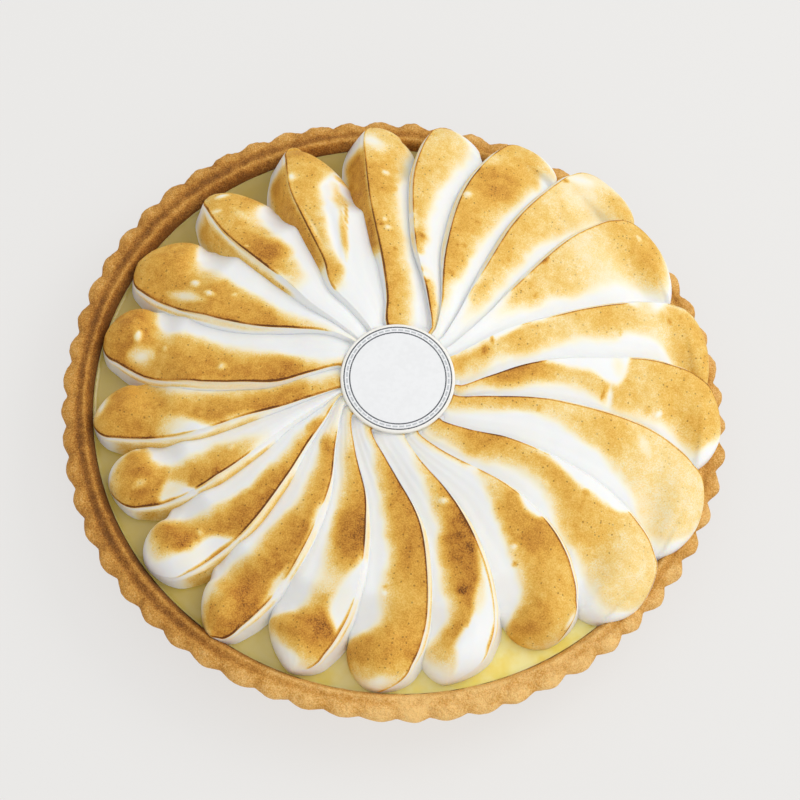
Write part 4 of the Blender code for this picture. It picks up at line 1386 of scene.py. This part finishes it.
    def build_heart(self, material: bpy.types.Material) -> bpy.types.Object:
        """Makes the heart that the plaque sits on.

        Args:
            material: The meringue's finish.

        Returns:
            The piece.
        """
        radii = np.r_[1.0, 21.0, 21.6, np.linspace(21.4, 1.0, 24)][:, None]
        azimuth = np.arange(96)[None, :] * 360.0 / 96
        height = np.r_[self.level, self.level, self.level + 12.0, np.full(24, 60.0)][:, None]
        rows = polar(radii, azimuth, height)
        rows[..., 2] = np.minimum(self.plaque.clear(rows), self.crest(radii, azimuth) - 1.2)
        return grid_piece("meringue_heart", rows, material, {"toast_and_painted_light": np.zeros(rows.shape[:2])})

    def build(self, material: bpy.types.Material) -> list[bpy.types.Object]:
        """Makes every piece of the rosette."""
        petals = [self.build_petal(index, material) for index in range(len(PETALS))]
        return [self.build_heart(material), *petals]


# ---------------------------------------------------------------------------------------
# Plaque
# ---------------------------------------------------------------------------------------


@dataclass
class Plaque:
    """The round plaque, tilted towards the front, with two printed rings and dashes between."""

    centre: tuple[float, float, float]
    radius: float = 20.3
    thickness: float = 1.6
    tilt: float = 7.5
    steps: int = 192
    rings: tuple[tuple[float, float], ...] = ((16.8, 17.25), (18.8, 19.25))
    dashes: tuple[float, float] = (17.7, 18.3)
    dash_steps: int = 4
    sharp_angle: float = 50.0

    def clear(self, points: Array) -> Array:
        """Keeps points under the plaque where it covers them.

        Args:
            points: The points.

        Returns:
            Their heights.
        """
        tilt = math.radians(self.tilt)
        across, back = points[..., 0] - self.centre[0], points[..., 1] - self.centre[1]
        under = self.centre[2] + back * math.tan(tilt) - self.thickness / 2 / math.cos(tilt)
        free = ramp(np.hypot(across, back), self.radius + 0.1, self.radius + 0.9) * 8.0
        return np.minimum(points[..., 2], under - 0.1 + free)

    def area(self, face: bpy.types.MeshPolygon) -> PlaqueArea:
        """Which area a face of the flat disc belongs to.

        Args:
            face: The face.

        Returns:
            The area.
        """
        reach = math.hypot(face.center.x, face.center.y) / MM
        if face.center.z < 0 or reach > self.rings[-1][1]:
            return PlaqueArea.BORDER
        if any(low < reach < high for low, high in self.rings):
            return PlaqueArea.RING
        turn = math.atan2(face.center.y, face.center.x) % (2 * math.pi) / (2 * math.pi)
        if self.dashes[0] < reach < self.dashes[1] and int(turn * self.steps) % self.dash_steps != 0:
            return PlaqueArea.DASH
        return PlaqueArea.FIELD

    def build(self, finishes: dict[PlaqueArea, bpy.types.Material]) -> bpy.types.Object:
        """Makes the plaque as a turned disc with an eased edge.

        Args:
            finishes: The material of each area.

        Returns:
            The piece.
        """
        half = self.thickness / 2
        edges = sorted({r for ring in (*self.rings, self.dashes) for r in ring})
        top = [(r, half) for r in (0.5, 6.0, 12.0, *edges, self.radius - 0.5)]
        rim = [(self.radius - 0.15, half - 0.12), (self.radius, half - 0.45)]
        rim += [(self.radius, 0.45 - half), (self.radius - 0.3, -half)]
        profile = top + rim + [(0.5, -half)]
        azimuth = np.arange(self.steps)[None, :] * 360.0 / self.steps
        radii = np.array([r for r, _ in profile])[:, None]
        heights = np.array([z for _, z in profile])[:, None]
        areas = list(PlaqueArea)
        plaque = grid_piece("plaque_disc", polar(radii, azimuth, heights), finishes[areas[0]])
        for area in areas[1:]:
            plaque.data.materials.append(finishes[area])
        for face in plaque.data.polygons:
            face.material_index = areas.index(self.area(face))
        plaque.data.set_sharp_from_angle(angle=math.radians(self.sharp_angle))
        place = Matrix.Translation(Vector(self.centre) * MM)
        plaque.data.transform(place @ Matrix.Rotation(math.radians(self.tilt), 4, "X"))
        return plaque


# ---------------------------------------------------------------------------------------
# Studio
# ---------------------------------------------------------------------------------------


@dataclass
class Studio:
    """A pale floor, a soft key light from the right, fills and the camera over the front edge."""

    rim_height: float
    aim: tuple[float, float] = (1.4, 0.3)
    elevation: float = 64.2
    roll: float = 8.5
    distance: float = 760.0
    lens: float = 94.5

    def camera(self) -> None:
        """Places the camera."""
        up = math.radians(self.elevation)
        target = Vector((self.aim[0], self.aim[1], self.rim_height))
        eye = Vector((0.0, -self.distance * math.cos(up), self.rim_height + self.distance * math.sin(up)))
        data = bpy.data.cameras.new("camera")
        data.lens = self.lens
        data.sensor_width = 36.0
        data.clip_start = 0.01
        camera = bpy.data.objects.new("camera", data)
        turn = (target - eye).to_track_quat("-Z", "Y").to_matrix().to_4x4()
        turn = turn @ Matrix.Rotation(math.radians(self.roll), 4, "Z")
        camera.matrix_world = Matrix.Translation(eye * MM) @ turn
        bpy.context.scene.collection.objects.link(camera)
        bpy.context.scene.camera = camera

    def lights(self) -> None:
        """Adds the key light, two weak fills and pale surroundings."""
        for name, place, size, power, colour in (
            ("key", (700, 460, 820), 700, 5.3, (1.0, 0.985, 0.96)),
            ("overhead", (-100, 100, 1300), 1000, 1.5, (0.98, 0.99, 1.0)),
            ("front", (420, -900, 520), 500, 1.6, (1.0, 0.98, 0.95)),
        ):
            data = bpy.data.lights.new(name, "AREA")
            data.size = size * MM
            data.energy = power
            data.color = colour
            light = bpy.data.objects.new(name, data)
            light.location = Vector(place) * MM
            light.rotation_euler = (-light.location).to_track_quat("-Z", "Y").to_euler()
            bpy.context.scene.collection.objects.link(light)
        world = bpy.data.worlds.new("surroundings")
        world.use_nodes = True
        sky = world.node_tree.nodes["Background"]
        sky.inputs["Color"].default_value = (0.985, 0.99, 1.0, 1.0)
        sky.inputs["Strength"].default_value = 0.67
        bpy.context.scene.world = world

    def floor(self) -> None:
        """Adds the pale floor."""
        material, _, shader = new_material("pale_floor", {"Roughness": 0.9})
        shader.inputs["Base Color"].default_value = (0.14, 0.139, 0.137, 1.0)
        shader.inputs["Emission Color"].default_value = (0.80, 0.79, 0.775, 1.0)
        shader.inputs["Emission Strength"].default_value = 0.84
        bm = bmesh.new()
        bmesh.ops.create_circle(bm, cap_ends=True, segments=96, radius=4.0)
        mesh = bpy.data.meshes.new("floor")
        bm.to_mesh(mesh)
        bm.free()
        mesh.materials.append(material)
        floor = bpy.data.objects.new("floor", mesh)
        bpy.context.scene.collection.objects.link(floor)

    def build(self) -> None:
        """Sets up the whole studio."""
        self.floor()
        self.lights()
        self.camera()
        bpy.context.scene.view_settings.view_transform = "Standard"


def node_box(name: str) -> tuple[Vector, Vector]:
    """A node's lowest and highest corners in millimetres."""
    low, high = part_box(name)
    return Vector(low) / MM, Vector(high) / MM


def main() -> None:
    """Builds the pie round its frame."""
    logging.basicConfig(level=logging.INFO, format="%(message)s")
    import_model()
    effects = Effects()

    _, crust_high = node_box("crust")
    case = PastryCase(rim_radius=crust_high.x, rim_height=crust_high.z)
    settle(case.build(PastryFinish().material(effects)), "crust")

    curd_low, curd_high = node_box("curd")
    filling = LemonFilling(radius=curd_high.x, level=curd_high.z, bottom=curd_low.z)
    settle(filling.build(FillingFinish().material(effects)), "curd")

    plaque_low, plaque_high = node_box("plaque")
    plaque = Plaque(centre=tuple((plaque_low + plaque_high) / 2))
    rosette = MeringueRosette(case=case, level=filling.level, plaque=plaque)
    for piece in rosette.build(MeringueFinish().material(effects)):
        settle(piece, "meringue")

    finish = PlaqueFinish()
    disc = plaque.build({area: finish.material(area, effects) for area in PlaqueArea})
    settle(disc, "plaque")

    Studio(rim_height=case.rim_height).build()


if __name__ == "__main__":
    main()
